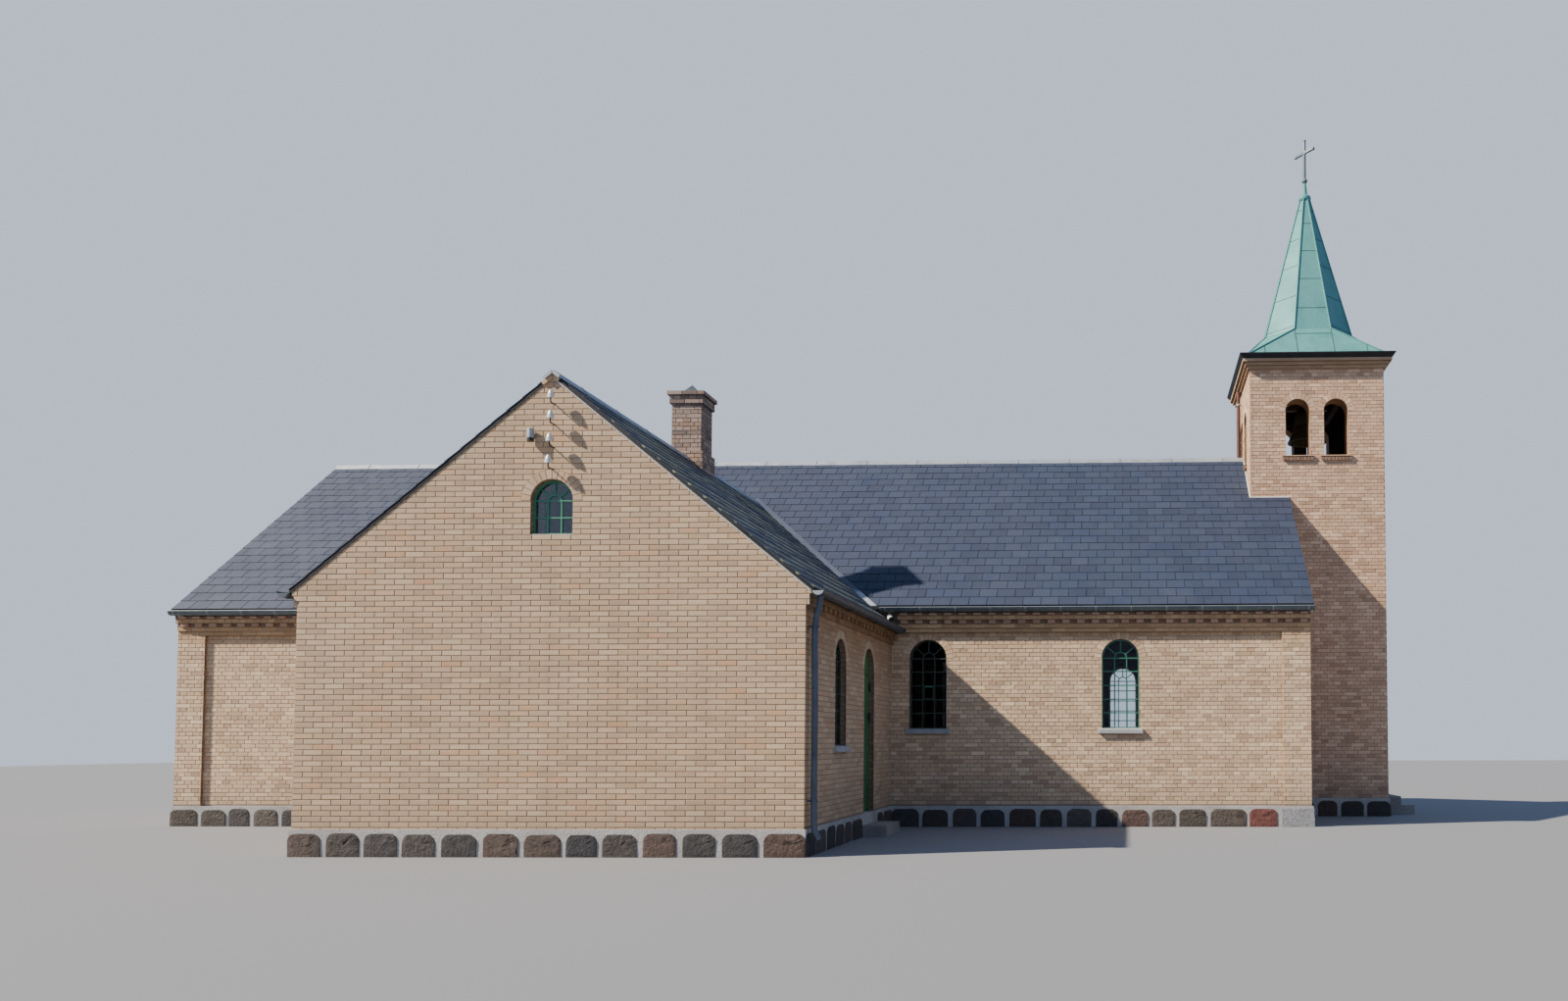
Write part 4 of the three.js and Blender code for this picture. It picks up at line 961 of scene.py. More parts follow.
def buildTowerBricks():
    middle, half, top = towerLook["middle"], towerLook["half"], towerLook["top"]
    line, apart = towerLook["roofLine"], towerLook["apart"]

    def bells(spot):
        return [(spot + side * apart, *towerLook["belfry"]) for side in (-1, 1)]

    rings = []
    for facing, face, sign in (("front", -half, 1), ("back", half, -1)):
        ends = sorted((sign * (middle - half), sign * (middle + half)))
        lower = sorted((sign * naveLook["half"], sign * (middle + half)))
        areas = [(*ends, line - 0.1, top), (*lower, plinthTop, line - 0.05)]
        field, more = brickFace(facing, face, areas, "cross", bells(sign * middle), rough=0.002)
        done(field, f"tower_{facing}_bricks", "towerBrick")
        rings += more
    for facing, face, low in (("right", middle + half, plinthTop), ("left", middle - half, line - 0.1)):
        arches = bells(0) + ([(0, *towerLook["door"])] if facing == "right" else [])
        field, more = brickFace(facing, face, [(-half, half, low, top)], "cross", arches, rough=0.002)
        done(field, f"tower_{facing}_bricks", "towerBrick")
        rings += more
    done(rings, "tower_arch_bricks", "towerBrick")

    # Thin corbelled courses under the eave
    look = {"out": (0.045, 0.09, 0.135), "high": 0.056, "length": 0.234, "joint": 0.001}
    parts = []
    for k, out in enumerate(look["out"]):
        reach = half + out
        count = round(2 * reach / (look["length"] + look["joint"]))
        pitch = 2 * reach / count
        for facing in facings:
            row = block((-reach, -0.004, 0.003), (-reach + pitch - look["joint"], 0.02, look["high"] - 0.004))
            repeated(softened(row, 0.001), count, (pitch, 0, 0))
            turn = turned(facing, middle, 0, top + k * look["high"])
            parts.append(moveBy(row, turn @ Matrix.Translation((0, -reach, 0))))
    done(parts, "tower_cornice_bricks", "towerTrimBrick")

    # Sloping sills of bricks on edge under the belfry openings
    sill = {"wide": 0.583, "out": 0.042, "low": 6.582, "high": 6.652, "bricks": 9, "slab": 0.014}
    parts, slabs = [], []
    for facing in facings:
        for side in (-1, 1):
            pitch = sill["wide"] / sill["bricks"]
            under = sill["high"] - sill["slab"]
            unit = block((0.005, -sill["out"], sill["low"]), (pitch - 0.005, 0.02, under))
            pickFaces(unit, lambda face: face.normal.y < -0.9)
            bpy.ops.transform.translate(value=(0, 0, -0.022))
            closeEdit()
            repeated(softened(unit, 0.005), sill["bricks"], (pitch, 0, 0))
            turn = turned(facing, middle) @ Matrix.Translation((side * apart - sill["wide"] / 2, -half, 0))
            parts.append(moveBy(roughen(unit, 0.002, 9), turn))
            slab = block((-0.006, -sill["out"] - 0.008, under), (sill["wide"] + 0.006, 0.02, sill["high"]))
            slabs.append(moveBy(softened(slab, 0.003), turn))
    done(parts, "belfry_sill_bricks", "sillBrick")
    done(slabs, "belfry_sill_slabs", "towerBrick")


def buildChimneyBricks():
    look = {"place": (-0.569, -4.455), "crown": (0.285, 6.925, 6.937), "flue": (0.11, 6.8, 7.1),
            "parts": ((0.274, 5.52, 5.965), (0.234, 5.965, 6.725), (0.264, 6.725, 6.858),
                      (0.294, 6.858, 6.925))}
    x, y = look["place"]
    parts = []
    for half, low, high in look["parts"]:
        for facing in facings:
            field, _ = brickFace(facing, 0, [(-half, half, low, high)], level=low, rough=0.002)
            turn = Matrix.Rotation(facings[facing], 4, "Z") @ Vector((0, -half, 0))
            parts.append(moveTo(field, x + turn.x, y + turn.y, 0))
    done(parts, "chimney_bricks", "sootyBrick")
    half, low, high = look["crown"]
    crown = block((x - half, y - half, low), (x + half, y + half, high))
    pickFaces(crown, lambda face: face.normal.z > 0.9)
    bpy.ops.transform.resize(value=(0.9, 0.9, 1))
    closeEdit()
    half, low, high = look["flue"]
    boolean(crown, block((x - half, y - half, low), (x + half, y + half, high)), "DIFFERENCE")
    done(softened(crown, 0.003), "chimney_flaunching", "granite")


buildWingBricks()
print("wing bricks laid")
buildNaveBricks()
print("nave bricks laid")
buildTowerBricks()
buildChimneyBricks()
print("tower and chimney bricks laid")


# Roof slates

slateLook = {"wide": 0.286, "gap": 0.008, "thick": 0.007, "raise": 0.012, "sink": 0.004}


# Slates over a slope, from its lower left corner: along the eave, then up the slope
def slateField(node, corner, along, up, length, rise, rows, seed):
    pitch = slateLook["wide"] + slateLook["gap"]
    exposure = rise / rows
    unit = block((0, 0, 0), (slateLook["wide"], exposure + 0.04, slateLook["thick"]))
    softened(unit, 0.0015)
    tilt = math.atan2(slateLook["raise"] - slateLook["sink"], exposure)
    moveBy(unit, Matrix.Translation((0, 0, slateLook["raise"] - slateLook["thick"]))
           @ Matrix.Rotation(-tilt, 4, "X"))
    other = moveTo(copied(unit), -pitch / 2, exposure, 0)
    field = joined([unit, other])
    repeated(field, math.ceil(length / pitch) + 2, (pitch, 0, 0))
    repeated(field, math.ceil(rows / 2) + 1, (0, 2 * exposure, 0))
    roughen(field, 0.0018, seed)
    along, up = Vector(along).normalized(), Vector(up).normalized()
    turn = Matrix((along, up, along.cross(up))).transposed().to_4x4()
    moveBy(field, Matrix.Translation(Vector(corner) - along * pitch) @ turn)
    normal = along.cross(up)
    return boolean(field, nodeCopy(node, normal * 0.02), "INTERSECT")


def buildSlates():
    half, slope, eave = naveLook["half"] + 0.05, naveLook["slope"], naveLook["eave"]
    rise = eave * math.hypot(1, slope)
    for facing, side in (("front", -1), ("back", 1)):
        corner = (side * half, side * eave, naveLook["ridge"] - slope * eave)
        field = slateField(f"nave_roof_{facing}", corner, (-side, 0, 0), (0, -side, slope), 2 * half, rise,
                           naveLook["courses"], 3)
        if side == -1:
            # Bare of slates where the wing's roof and the valley sheets lie
            drop = naveLook["ridge"] - wingLook["ridge"]
            peak = (drop - valleyLook["wide"] * wingLook["slope"]) / slope
            past = valleyLook["past"]
            foot = (past * slope - drop) / wingLook["slope"] + valleyLook["wide"]
            plan = block((-foot, -past, 3), (foot, -peak, 7))
            for sign in (-1, 1):
                normal = Vector((sign * (past - peak), foot, 0)).normalized()
                cutPlane(plan, (0, -peak, 5), normal)
            boolean(field, moveTo(plan, wingLook["middle"], 0, 0), "DIFFERENCE")
        done(field, f"nave_{facing}_slates", "slateTile")
    reach, slope = wingLook["reach"], wingLook["slope"]
    rise = reach * math.hypot(1, slope)
    low = wingLook["ridge"] - slope * reach
    front, back = wingLook["front"] - 0.04, -1.0
    for name, side in (("left", -1), ("right", 1)):
        corner = (wingLook["middle"] + side * reach, front if side == 1 else back, low)
        field = slateField(f"wing_roof_{name}", corner, (0, side, 0), (-side, 0, slope), back - front, rise,
                           wingLook["courses"], 4)
        verge = wingLook["front"] - wingLook["verge"]
        cutPlane(field, (0, verge - 0.006, 0), (0, -1, 0))
        # The right slope takes the moss and its painted shade
        done(field, f"wing_{name}_slates", "mossyShadedSlate" if name == "right" else "slateTile")
        bed = cutPlane(nodeCopy(f"wing_roof_{name}"), (0, verge, 0), (0, -1, 0))
        # The bed is nearly black: painted shade at the slates' edge
        done(bed, f"wing_{name}_bed", "slateBedShade")
        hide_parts(f"wing_roof_{name}")


# The strips of sheet metal that show between the slates of the nave and the wing
def buildValleys():
    drop = (naveLook["ridge"] - wingLook["ridge"]) / naveLook["slope"]
    for name, side in (("left", -1), ("right", 1)):
        sheet = nodeCopy(f"valley_{name}")
        cutPlane(sheet, (wingLook["middle"] + side * (valleyLook["wide"] + valleyLook["under"]), -drop, 0),
                 (side, naveLook["slope"] / wingLook["slope"], 0))
        # The sheet's upper part is darkened as painted shade
        done(softened(sheet, 0.001), f"valley_{name}_sheet", "valleySheet")
        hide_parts(f"valley_{name}")


buildSlates()
buildValleys()
print("slates hung")


# Split fieldstones of the plinth: one row in mortar that stands between them and over them

plinthLook = {"out": 0.025, "wide": (0.34, 0.46), "gap": (0.06, 0.09), "high": (0.268, 0.290),
              "proud": 0.010, "round": 0.095, "rough": 0.007, "seed": 11, "doorGap": 0.2, "steps": 0.6,
              "red": (8.35, 8.80, 0.285), "redGap": 8.30, "block": (8.87, -3.56, 0.288),
              "blockGap": -3.52}


# A stone with rounded upper corners, from u0 to u1 along a wall
def fieldStone(u0, u1, high, seed):
    stone = block((u0, -plinthLook["proud"], 0.0), (u1, 0.03, high))
    pickEdges(stone, lambda a, b: min(a.z, b.z) > high - 0.001 and abs(a.x - b.x) < 0.001)
    bpy.ops.mesh.bevel(offset=plinthLook["round"], segments=4, affect="EDGES")
    closeEdit()
    pickFaces(stone, lambda face: face.normal.y < -0.9)
    bpy.ops.mesh.inset(thickness=0.022, depth=0.004)
    bpy.ops.mesh.poke()
    bpy.ops.mesh.subdivide(number_cuts=2)
    closeEdit()
    roughen(stone, plinthLook["rough"], seed)
    return cutPlane(stone, (0, 0, 0.001), (0, 0, -1))


def buildPlinthStones():
    draw = random.Random(plinthLook["seed"])
    parts = []

    def stoneRow(facing, face, u0, u1):
        at = u0
        while at < u1 - 0.2:
            wide = draw.uniform(*plinthLook["wide"])
            if u1 - at - wide < 0.3:
                wide = u1 - at
            stone = fieldStone(at, at + wide, draw.uniform(*plinthLook["high"]), draw.randrange(1000))
            parts.append(onWall(stone, facing, face))
            at += wide + draw.uniform(*plinthLook["gap"])

    out = plinthLook["out"]
    half, deep = naveLook["half"] + out, naveLook["deep"] + out
    left, right, front = wingLook["left"] - out, wingLook["right"] + out, wingLook["front"] - out
    tower, end = towerLook["half"] + out, towerLook["middle"] + towerLook["half"] + out
    gap, steps = plinthLook["doorGap"], plinthLook["steps"]
    for facing, face, u0, u1 in (
            ("front", front, left, right), ("right", right, front, sideDoor["near"] - gap),
            ("right", right, sideDoor["far"] + gap, -deep), ("left", left, deep, -front),
            ("front", -deep, -half, left), ("front", -deep, right, plinthLook["redGap"]),
            ("back", deep, -half, half), ("left", -half, -deep, deep),
            ("right", half, plinthLook["blockGap"], -tower), ("right", half, tower, deep),
            ("front", -tower, half, end), ("back", tower, -end, -half), ("right", end, -tower, -steps),
            ("right", end, steps, tower)):
        stoneRow(facing, face, u0, u1)
    done(smoothed(joined(parts), 0.9), "plinth_stones", "fieldStone")
    red = onWall(fieldStone(*plinthLook["red"], 5), "front", -deep)
    done(smoothed(red, 0.9), "plinth_red_stone", "redGranite")
    # The block of paler stone at the nave's front corner
    near, far, high = plinthLook["block"]
    corner = block((near, -deep - 0.012, 0), (half + 0.010, far, high))
    openEdit(corner)
    bpy.ops.mesh.subdivide(number_cuts=4)
    closeEdit()
    cutPlane(roughen(corner, 0.008, 8), (0, 0, 0.001), (0, 0, -1))
    done(smoothed(corner, 0.9), "plinth_corner_block", "granite")


buildPlinthStones()
print("plinth stones set")


# Windows: an iron frame with bars, a pane and a sill, made facing -Y round x 0

barLook = {"frame": 0.020, "deep": 0.036, "set": 0.072, "glass": 0.006, "post": 0.026, "rail": 0.024}


def windowFrame(width, sill, top, columns, levels, fan, bar):
    half, near = width / 2 - 0.002, barLook["set"]
    far = near + barLook["deep"]
    spring = top - width / 2
    frameWide = barLook["frame"]
    ring = archSlab(2 * half, sill, top - 0.002, near, far)
    hole = archSlab(2 * (half - frameWide), sill + frameWide, top - 0.002 - frameWide, near - 0.1, far + 0.1)
    parts = [cleaned(softened(boolean(ring, hole, "DIFFERENCE"), 0.003))]
    middle = (near + far) / 2
    reach = half - frameWide / 2
    for x in (-columns, columns):
        parts.append(strip((x, middle, sill + 0.01), (x, middle, spring), bar, barLook["post"], (0, -1, 0)))
    for z in levels:
        parts.append(strip((-reach, middle, z), (reach, middle, z), bar, barLook["rail"], (0, -1, 0)))
    arc = boolean(rod((0, near + 0.004, spring), (0, far - 0.004, spring), columns + bar / 2, 24),
                  rod((0, 0, spring), (0, 0.3, spring), columns - bar / 2, 24), "DIFFERENCE")
    parts.append(cutPlane(arc, (0, 0, spring), (0, 0, -1)))
    for angle in fan:
        way = Vector((math.sin(math.radians(angle)), 0, math.cos(math.radians(angle))))
        root = Vector((0, middle, spring))
        parts.append(strip(root + way * columns, root + way * reach, bar, barLook["rail"], (0, -1, 0)))
    return joined(parts)


def windowPane(width, sill, top):
    middle = barLook["set"] + barLook["deep"] / 2
    pane = archSlab(width - 0.03, sill + 0.01, top - 0.015, middle, middle + barLook["glass"])
    return cleaned(pane)


# A thin slab under the window, and before the wall a thick nose that slopes outwards
def windowSill(width, sill, look):
    slab = block((-width / 2 + 0.001, 0.002, sill), (width / 2 - 0.001, 0.11, sill + look["slab"]))
    if not look["out"]:
        return softened(slab, 0.003)
    low = sill - look["drop"]
    half = width / 2 + look["past"]
    nose = block((-half, -look["out"], low), (half, 0.003, sill + look["slab"]))
    pickFaces(nose, lambda face: face.normal.y < -0.9)
    bpy.ops.transform.resize(value=(1, 1, 0.8), center_override=(0, 0, low))
    closeEdit()
    return joined([softened(slab, 0.003), softened(nose, 0.006)])


def buildWindow(name, node, facing, face, along, look):
    width, sill, top = look["size"]
    low = sill + look["ledge"]["slab"]
    bars = windowFrame(width, low, top, look["columns"], look["levels"], look["fan"], look["bar"])
    if look.get("vent"):
        z0, z1 = look["vent"]
        outer, inner = look["columns"] - 0.012, look["columns"] - 0.030
        sash = block((-outer, 0.062, z0), (outer, 0.082, z1))
        boolean(sash, block((-inner, 0, z0 + 0.018), (inner, 0.2, z1 - 0.018)), "DIFFERENCE")
        bars = joined([bars, sash])
        rail = strip((-0.060, 0.058, z1 - 0.008), (0.060, 0.058, z1 - 0.008), 0.016, 0.008, (0, -1, 0))
        rail = done(onWall(softened(rail, 0.002), facing, face, along), name + "_vent_rail", "paleGreenPaint")
        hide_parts(node)
    pane = windowPane(width, low, top)
    ledge = windowSill(width, sill, look["ledge"])
    for piece in (bars, pane, ledge):
        onWall(piece, facing, face, along)
    done(bars, name + "_bars", look.get("paint", "tealPaint"))
    done(pane, name + "_pane", look.get("glass", "windowGlass"))
    done(ledge, name + "_sill", "sillStone")
    if node:
        for piece in (bars, pane, ledge):
            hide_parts(node)


# A ledge's nose reaches down by drop, past the opening's sides by past, and out of the wall by out
ledgeLook = {"slab": 0.012, "drop": 0.075, "past": 0.056, "out": 0.062}
naveBars = {"size": naveLook["window"], "columns": 0.098, "levels": (2.729, 2.512, 2.284, 2.058, 1.838),
            "fan": (0, -50, 50), "bar": 0.019, "ledge": ledgeLook}
# The wing's side windows take the green paint darkened as painted shade
sideBars = {"size": wingLook["window"], "columns": 0.096, "levels": (2.462, 2.245, 2.020, 1.795, 1.570),
            "fan": (0, -50, 50), "bar": 0.016, "ledge": ledgeLook, "paint": "shadedGreenPaint"}
gableBars = {"size": wingLook["gable"], "columns": 0.083, "levels": (4.314, 4.106), "fan": (0, -48, 48),
             "bar": 0.015, "ledge": {"slab": 0.010, "out": 0}, "paint": "paleGreenPaint",
             "glass": "gableGlass"}


def buildWindows():
    step, panel = naveLook["step"], naveLook["panel"]
    for k, x in enumerate((-2 * step, step, 2 * step)):
        # The second window stands in shadow, and takes the same darker paint as painted shade
        look = dict(naveBars, vent=(2.066, 2.276), paint="shadedGreenPaint") if k == 1 else naveBars
        buildWindow(f"nave_window_{k + 1}", f"nave_front_window_{k + 1}", "front", -panel, x, look)
    buildWindow("gable_window", "wing_gable_window", "front", wingLook["front"], wingLook["middle"],
                gableBars)
    for facing, along in (("right", wingLook["windowY"]), ("left", -wingLook["windowY"])):
        buildWindow(f"wing_{facing}_window_dressed", f"wing_{facing}_window", facing, wingLook[facing], along,
                    sideBars)
    # The back windows have bars and sills of their own, before the one sheet of glass
    bars, ledges = [], []
    width, sill, top = naveLook["window"]
    for k in (-2, -1, 0, 1, 2):
        frame = windowFrame(width, sill + ledgeLook["slab"], top, naveBars["columns"], naveBars["levels"],
                            naveBars["fan"], naveBars["bar"])
        bars.append(onWall(frame, "back", panel, k * step))
        ledges.append(onWall(windowSill(width, sill, ledgeLook), "back", panel, k * step))
    done(bars, "nave_back_window_bars", "tealPaint")
    done(ledges, "nave_back_window_sills", "sillStone")


buildWindows()
print("windows glazed")


# Side door: boards and fittings on the leaf, seen from the wing's right

def buildSideDoor():
    look = {"face": 2.475, "inset": 0.0514, "boards": 5, "low": 0.362, "high": 2.369, "gap": 0.004,
            "proud": 0.008, "straps": (0.60, 1.70, 2.16), "sleeves": (1.665, 2.125), "sleeve": (0.145, 0.025)}
    near, far = sideDoor["near"] + look["inset"], sideDoor["far"] - look["inset"]
    pitch = (far - near) / look["boards"]
    board = block((near, -look["proud"], look["low"]), (near + pitch - look["gap"], 0.004, look["high"]))
    boards = repeated(softened(board, 0.003), look["boards"], (pitch, 0, 0))
    # Room between the boards for the hinges' straps and the lock
    for z in look["straps"]:
        boolean(boards, block((far - 0.19, -0.02, z), (far + 0.02, 0.02, z + 0.075)), "DIFFERENCE")
    boolean(boards, block((near + 0.03, -0.02, 1.27), (near + 0.10, 0.02, 1.38)), "DIFFERENCE")
    done(onWall(boards, "right", look["face"]), "side_door_boards", "greenPaint", "door_leaf")
    plate = softened(block((near + 0.035, -0.004, 1.275), (near + 0.095, 0.002, 1.375)), 0.003)
    rose = rod((near + 0.065, -0.008, 1.293), (near + 0.065, 0, 1.293), 0.011, 16)
    done(onWall(joined([plate, rose]), "right", look["face"]), "side_door_lock_plate", "blackIron",
         "door_leaf")
    # Iron sleeves round the two upper hinge barrels
    x, y = sideDoor["hinge"]
    long, radius = look["sleeve"]
    sleeves = [softened(rod((x, y, z), (x, y, z + long), radius, 20), 0.002) for z in look["sleeves"]]
    done(smoothed(joined(sleeves)), "side_door_sleeves", "blackIron", "door_leaf")


# Tower door: boards up to its round head, a strip where the leaves meet, straps and a handle

def buildTowerDoor():
    look = {"face": 11.088, "width": 0.99, "top": 2.772, "boards": 8, "proud": 0.010,
            "straps": (0.62, 1.45, 2.10), "strap": (0.045, 0.008), "handle": 1.33}
    half = look["width"] / 2
    pitch = look["width"] / look["boards"]
    board = block((-half, -look["proud"], plinthTop + 0.02),
                  (-half + pitch - 0.005, 0.004, look["top"] + 0.05))
    boards = repeated(softened(board, 0.003), look["boards"], (pitch, 0, 0))
    boolean(boards, archSlab(look["width"] - 0.01, plinthTop, look["top"] - 0.004, -0.05, 0.05), "INTERSECT")
    done(onWall(boards, "right", look["face"]), "tower_door_boards", "greenPaint")
    parts = []
    for z in look["straps"]:
        for side in (-1, 1):
            strap = strip((side * (half - 0.02), -0.014, z), (side * 0.09, -0.014, z), *look["strap"],
                          (0, -1, 0))
            parts.append(softened(strap, 0.002))
            parts.append(rod((side * 0.09, -0.019, z), (side * 0.09, -0.006, z), 0.024, 12))
    parts.append(softened(block((-0.018, -0.018, plinthTop + 0.03), (0.018, -0.006, 2.25)), 0.003))
    z = look["handle"]
    parts.append(rod((0.07, -0.05, z), (0.07, -0.008, z), 0.009))
    parts.append(rod((0.07, -0.046, z), (0.17, -0.046, z), 0.009))
    done(onWall(joined(parts), "right", look["face"]), "tower_door_straps", "blackIron")


buildSideDoor()
buildTowerDoor()
print("doors boarded")


# Spire: ribs along its hips, laps where the copper sheets meet, and the collar under the cross

def buildSpireSeams():
    look = {"foot": 0.825, "footZ": 9.178, "head": 0.078, "headZ": 12.06, "skirt": 1.29, "skirtZ": 8.54,
            "rib": (0.020, 0.040), "lap": (0.012, 0.010),
            "laps": ((9.25, 9.90, 10.56, 11.15, 11.79), (9.63, 10.26, 10.87, 11.48)),
            "skirtLap": 9.06, "seamsAt": (0.342, 0.95), "outerEnd": 8.769, "seam": (0.014, 0.014),
            "collar": (0.120, 12.002, 12.122), "cone": (0.058, 0.028, 12.11, 12.39)}
    centre = Vector((towerLook["middle"], 0, 0))

    # Where hip k of the eight-sided spire stands at height z
    def corner(k, z):
        share = (z - look["footZ"]) / (look["headZ"] - look["footZ"])
        apothem = look["foot"] + (look["head"] - look["foot"]) * share
        angle = math.radians(22.5 + 45 * k)
        radius = apothem / math.cos(math.radians(22.5))
        return centre + Vector((radius * math.cos(angle), radius * math.sin(angle), z))

    def seam(a, b, size):
        out = ((a + b) / 2 - centre) * Vector((1, 1, 0))
        return softened(strip(a, b, *size, out + Vector((0, 0, 0.4))), 0.003)

    ribs, laps = [], []
    for k in range(8):
        foot = corner(k, look["footZ"])
        ribs.append(seam(foot, corner(k, look["headZ"]), look["rib"]))
        for z in look["laps"][k % 2]:
            laps.append(seam(corner(k, z), corner(k + 1, z), look["lap"]))
        if k % 2 == 0:
            laps.append(seam(foot, corner(k + 1, look["footZ"]), look["lap"]))
        sides = [math.copysign(look["skirt"], v) for v in (foot.x - centre.x, foot.y)]
        ribs.append(seam(centre + Vector((*sides, look["skirtZ"])), foot, look["rib"]))

    # The skirt's seams, made on the front and turned to the other sides
    def onSkirt(x, z):
        share = (z - look["skirtZ"]) / (look["footZ"] - look["skirtZ"])
        return Vector((x, -look["skirt"] + (look["skirt"] - look["foot"]) * share, z))

    slope = (0, look["skirtZ"] - look["footZ"], look["skirt"] - look["foot"])
    inner, outer = look["seamsAt"]
    for facing in facings:
        lines = [(onSkirt(-inner, look["skirtLap"]), onSkirt(inner, look["skirtLap"]))]
        for side in (-1, 1):
            lines.append((onSkirt(side * inner, look["skirtZ"]), onSkirt(side * inner, look["footZ"])))
            lines.append((onSkirt(side * outer, look["skirtZ"]), onSkirt(side * outer, look["outerEnd"])))
        turn = turned(facing, *centre)
        for a, b in lines:
            laps.append(moveBy(softened(strip(a, b, *look["seam"], slope), 0.003), turn))
    done(ribs, "spire_ribs", "verdigris")
    # The laps' darker finish is a painted shade under each lap
    done(laps, "spire_laps", "copperSeamShade")
    x = towerLook["middle"]
    radius, low, high = look["collar"]
    collar = softened(rod((x, 0, low), (x, 0, high), radius, 32), 0.044, 5)
    radius, tip, low, high = look["cone"]
    cone = softened(rod((x, 0, low), (x, 0, high), radius, 24, tip), 0.004)
    collar = done(smoothed(joined([collar, cone])), "spire_collar", "verdigris")
    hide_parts("spire_cross")


# The ball and the cross, whose bars are a little thicker at their ends
def buildCross():
    look = {"bar": 0.024, "foot": 12.44, "top": 13.253, "arms": 12.99, "reach": 0.255, "end": 0.027,
            "long": 0.04, "ball": (0.057, 12.426), "turn": -0.9}
    bar, end, long, reach = look["bar"], look["end"], look["long"], look["reach"]
    post = block((-bar, -bar, look["foot"]), (bar, bar, look["top"] - 0.002))
    arms = block((0.002 - reach, -bar, look["arms"] - bar), (reach - 0.002, bar, look["arms"] + bar))
    parts = [boolean(post, arms, "UNION")]
    for side in (-1, 1):
        near, far = sorted((side * (reach - long), side * reach))
        parts.append(block((near, -end, look["arms"] - end), (far, end, look["arms"] + end)))
    parts.append(block((-end, -end, look["top"] - long), (end, end, look["top"])))
    parts = [softened(part, 0.005, 2) for part in parts]
    radius, height = look["ball"]
    parts.append(ballAt((0, 0, height), radius))
    cross = joined(parts)
    moveBy(cross, Matrix.Translation((towerLook["middle"], 0, 0)) @ Matrix.Rotation(look["turn"], 4, "Z"))
    done(smoothed(cross), "cross_bars", "crossMetal")
    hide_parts("spire_cross")


# The eave's sheet metal slopes in under its edge
def buildTowerEave():
    look = {"out": 1.433, "in": 0.07, "low": 8.448, "edge": 8.522, "top": 8.54, "sheet": 0.010}

    # The eave's outline, less a wall's thickness on all sides, and taller by past at both ends
    def outline(less, past):
        half = look["out"] - less
        share = 1 - look["in"] / half
        form = block((-half, -half, look["low"]), (half, half, look["edge"]))
        pickFaces(form, lambda face: face.normal.z < -0.9)
        bpy.ops.transform.resize(value=(share, share, 1), center_override=(0, 0, look["low"]))
        if past:
            bpy.ops.mesh.extrude_region_move(TRANSFORM_OT_translate={"value": (0, 0, -past)})
        closeEdit()
        pickFaces(form, lambda face: face.normal.z > 0.9)
        rise = look["top"] - look["edge"] + past
        bpy.ops.mesh.extrude_region_move(TRANSFORM_OT_translate={"value": (0, 0, rise)})
        closeEdit()
        return moveTo(form, towerLook["middle"], 0, 0)

    sheet = boolean(nodeCopy("tower_eave"), outline(0, 0), "INTERSECT")
    rim = boolean(outline(0, 0), outline(look["sheet"], 0.05), "DIFFERENCE")
    eave = cleaned(boolean(sheet, rim, "UNION"))
    done(eave, "tower_eave_metal", "eaveMetal")
    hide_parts("tower_eave")


buildSpireSeams()
buildCross()
buildTowerEave()
print("spire seamed")


# Ridge caps: a lap every metre, and mortar where slates meet walls

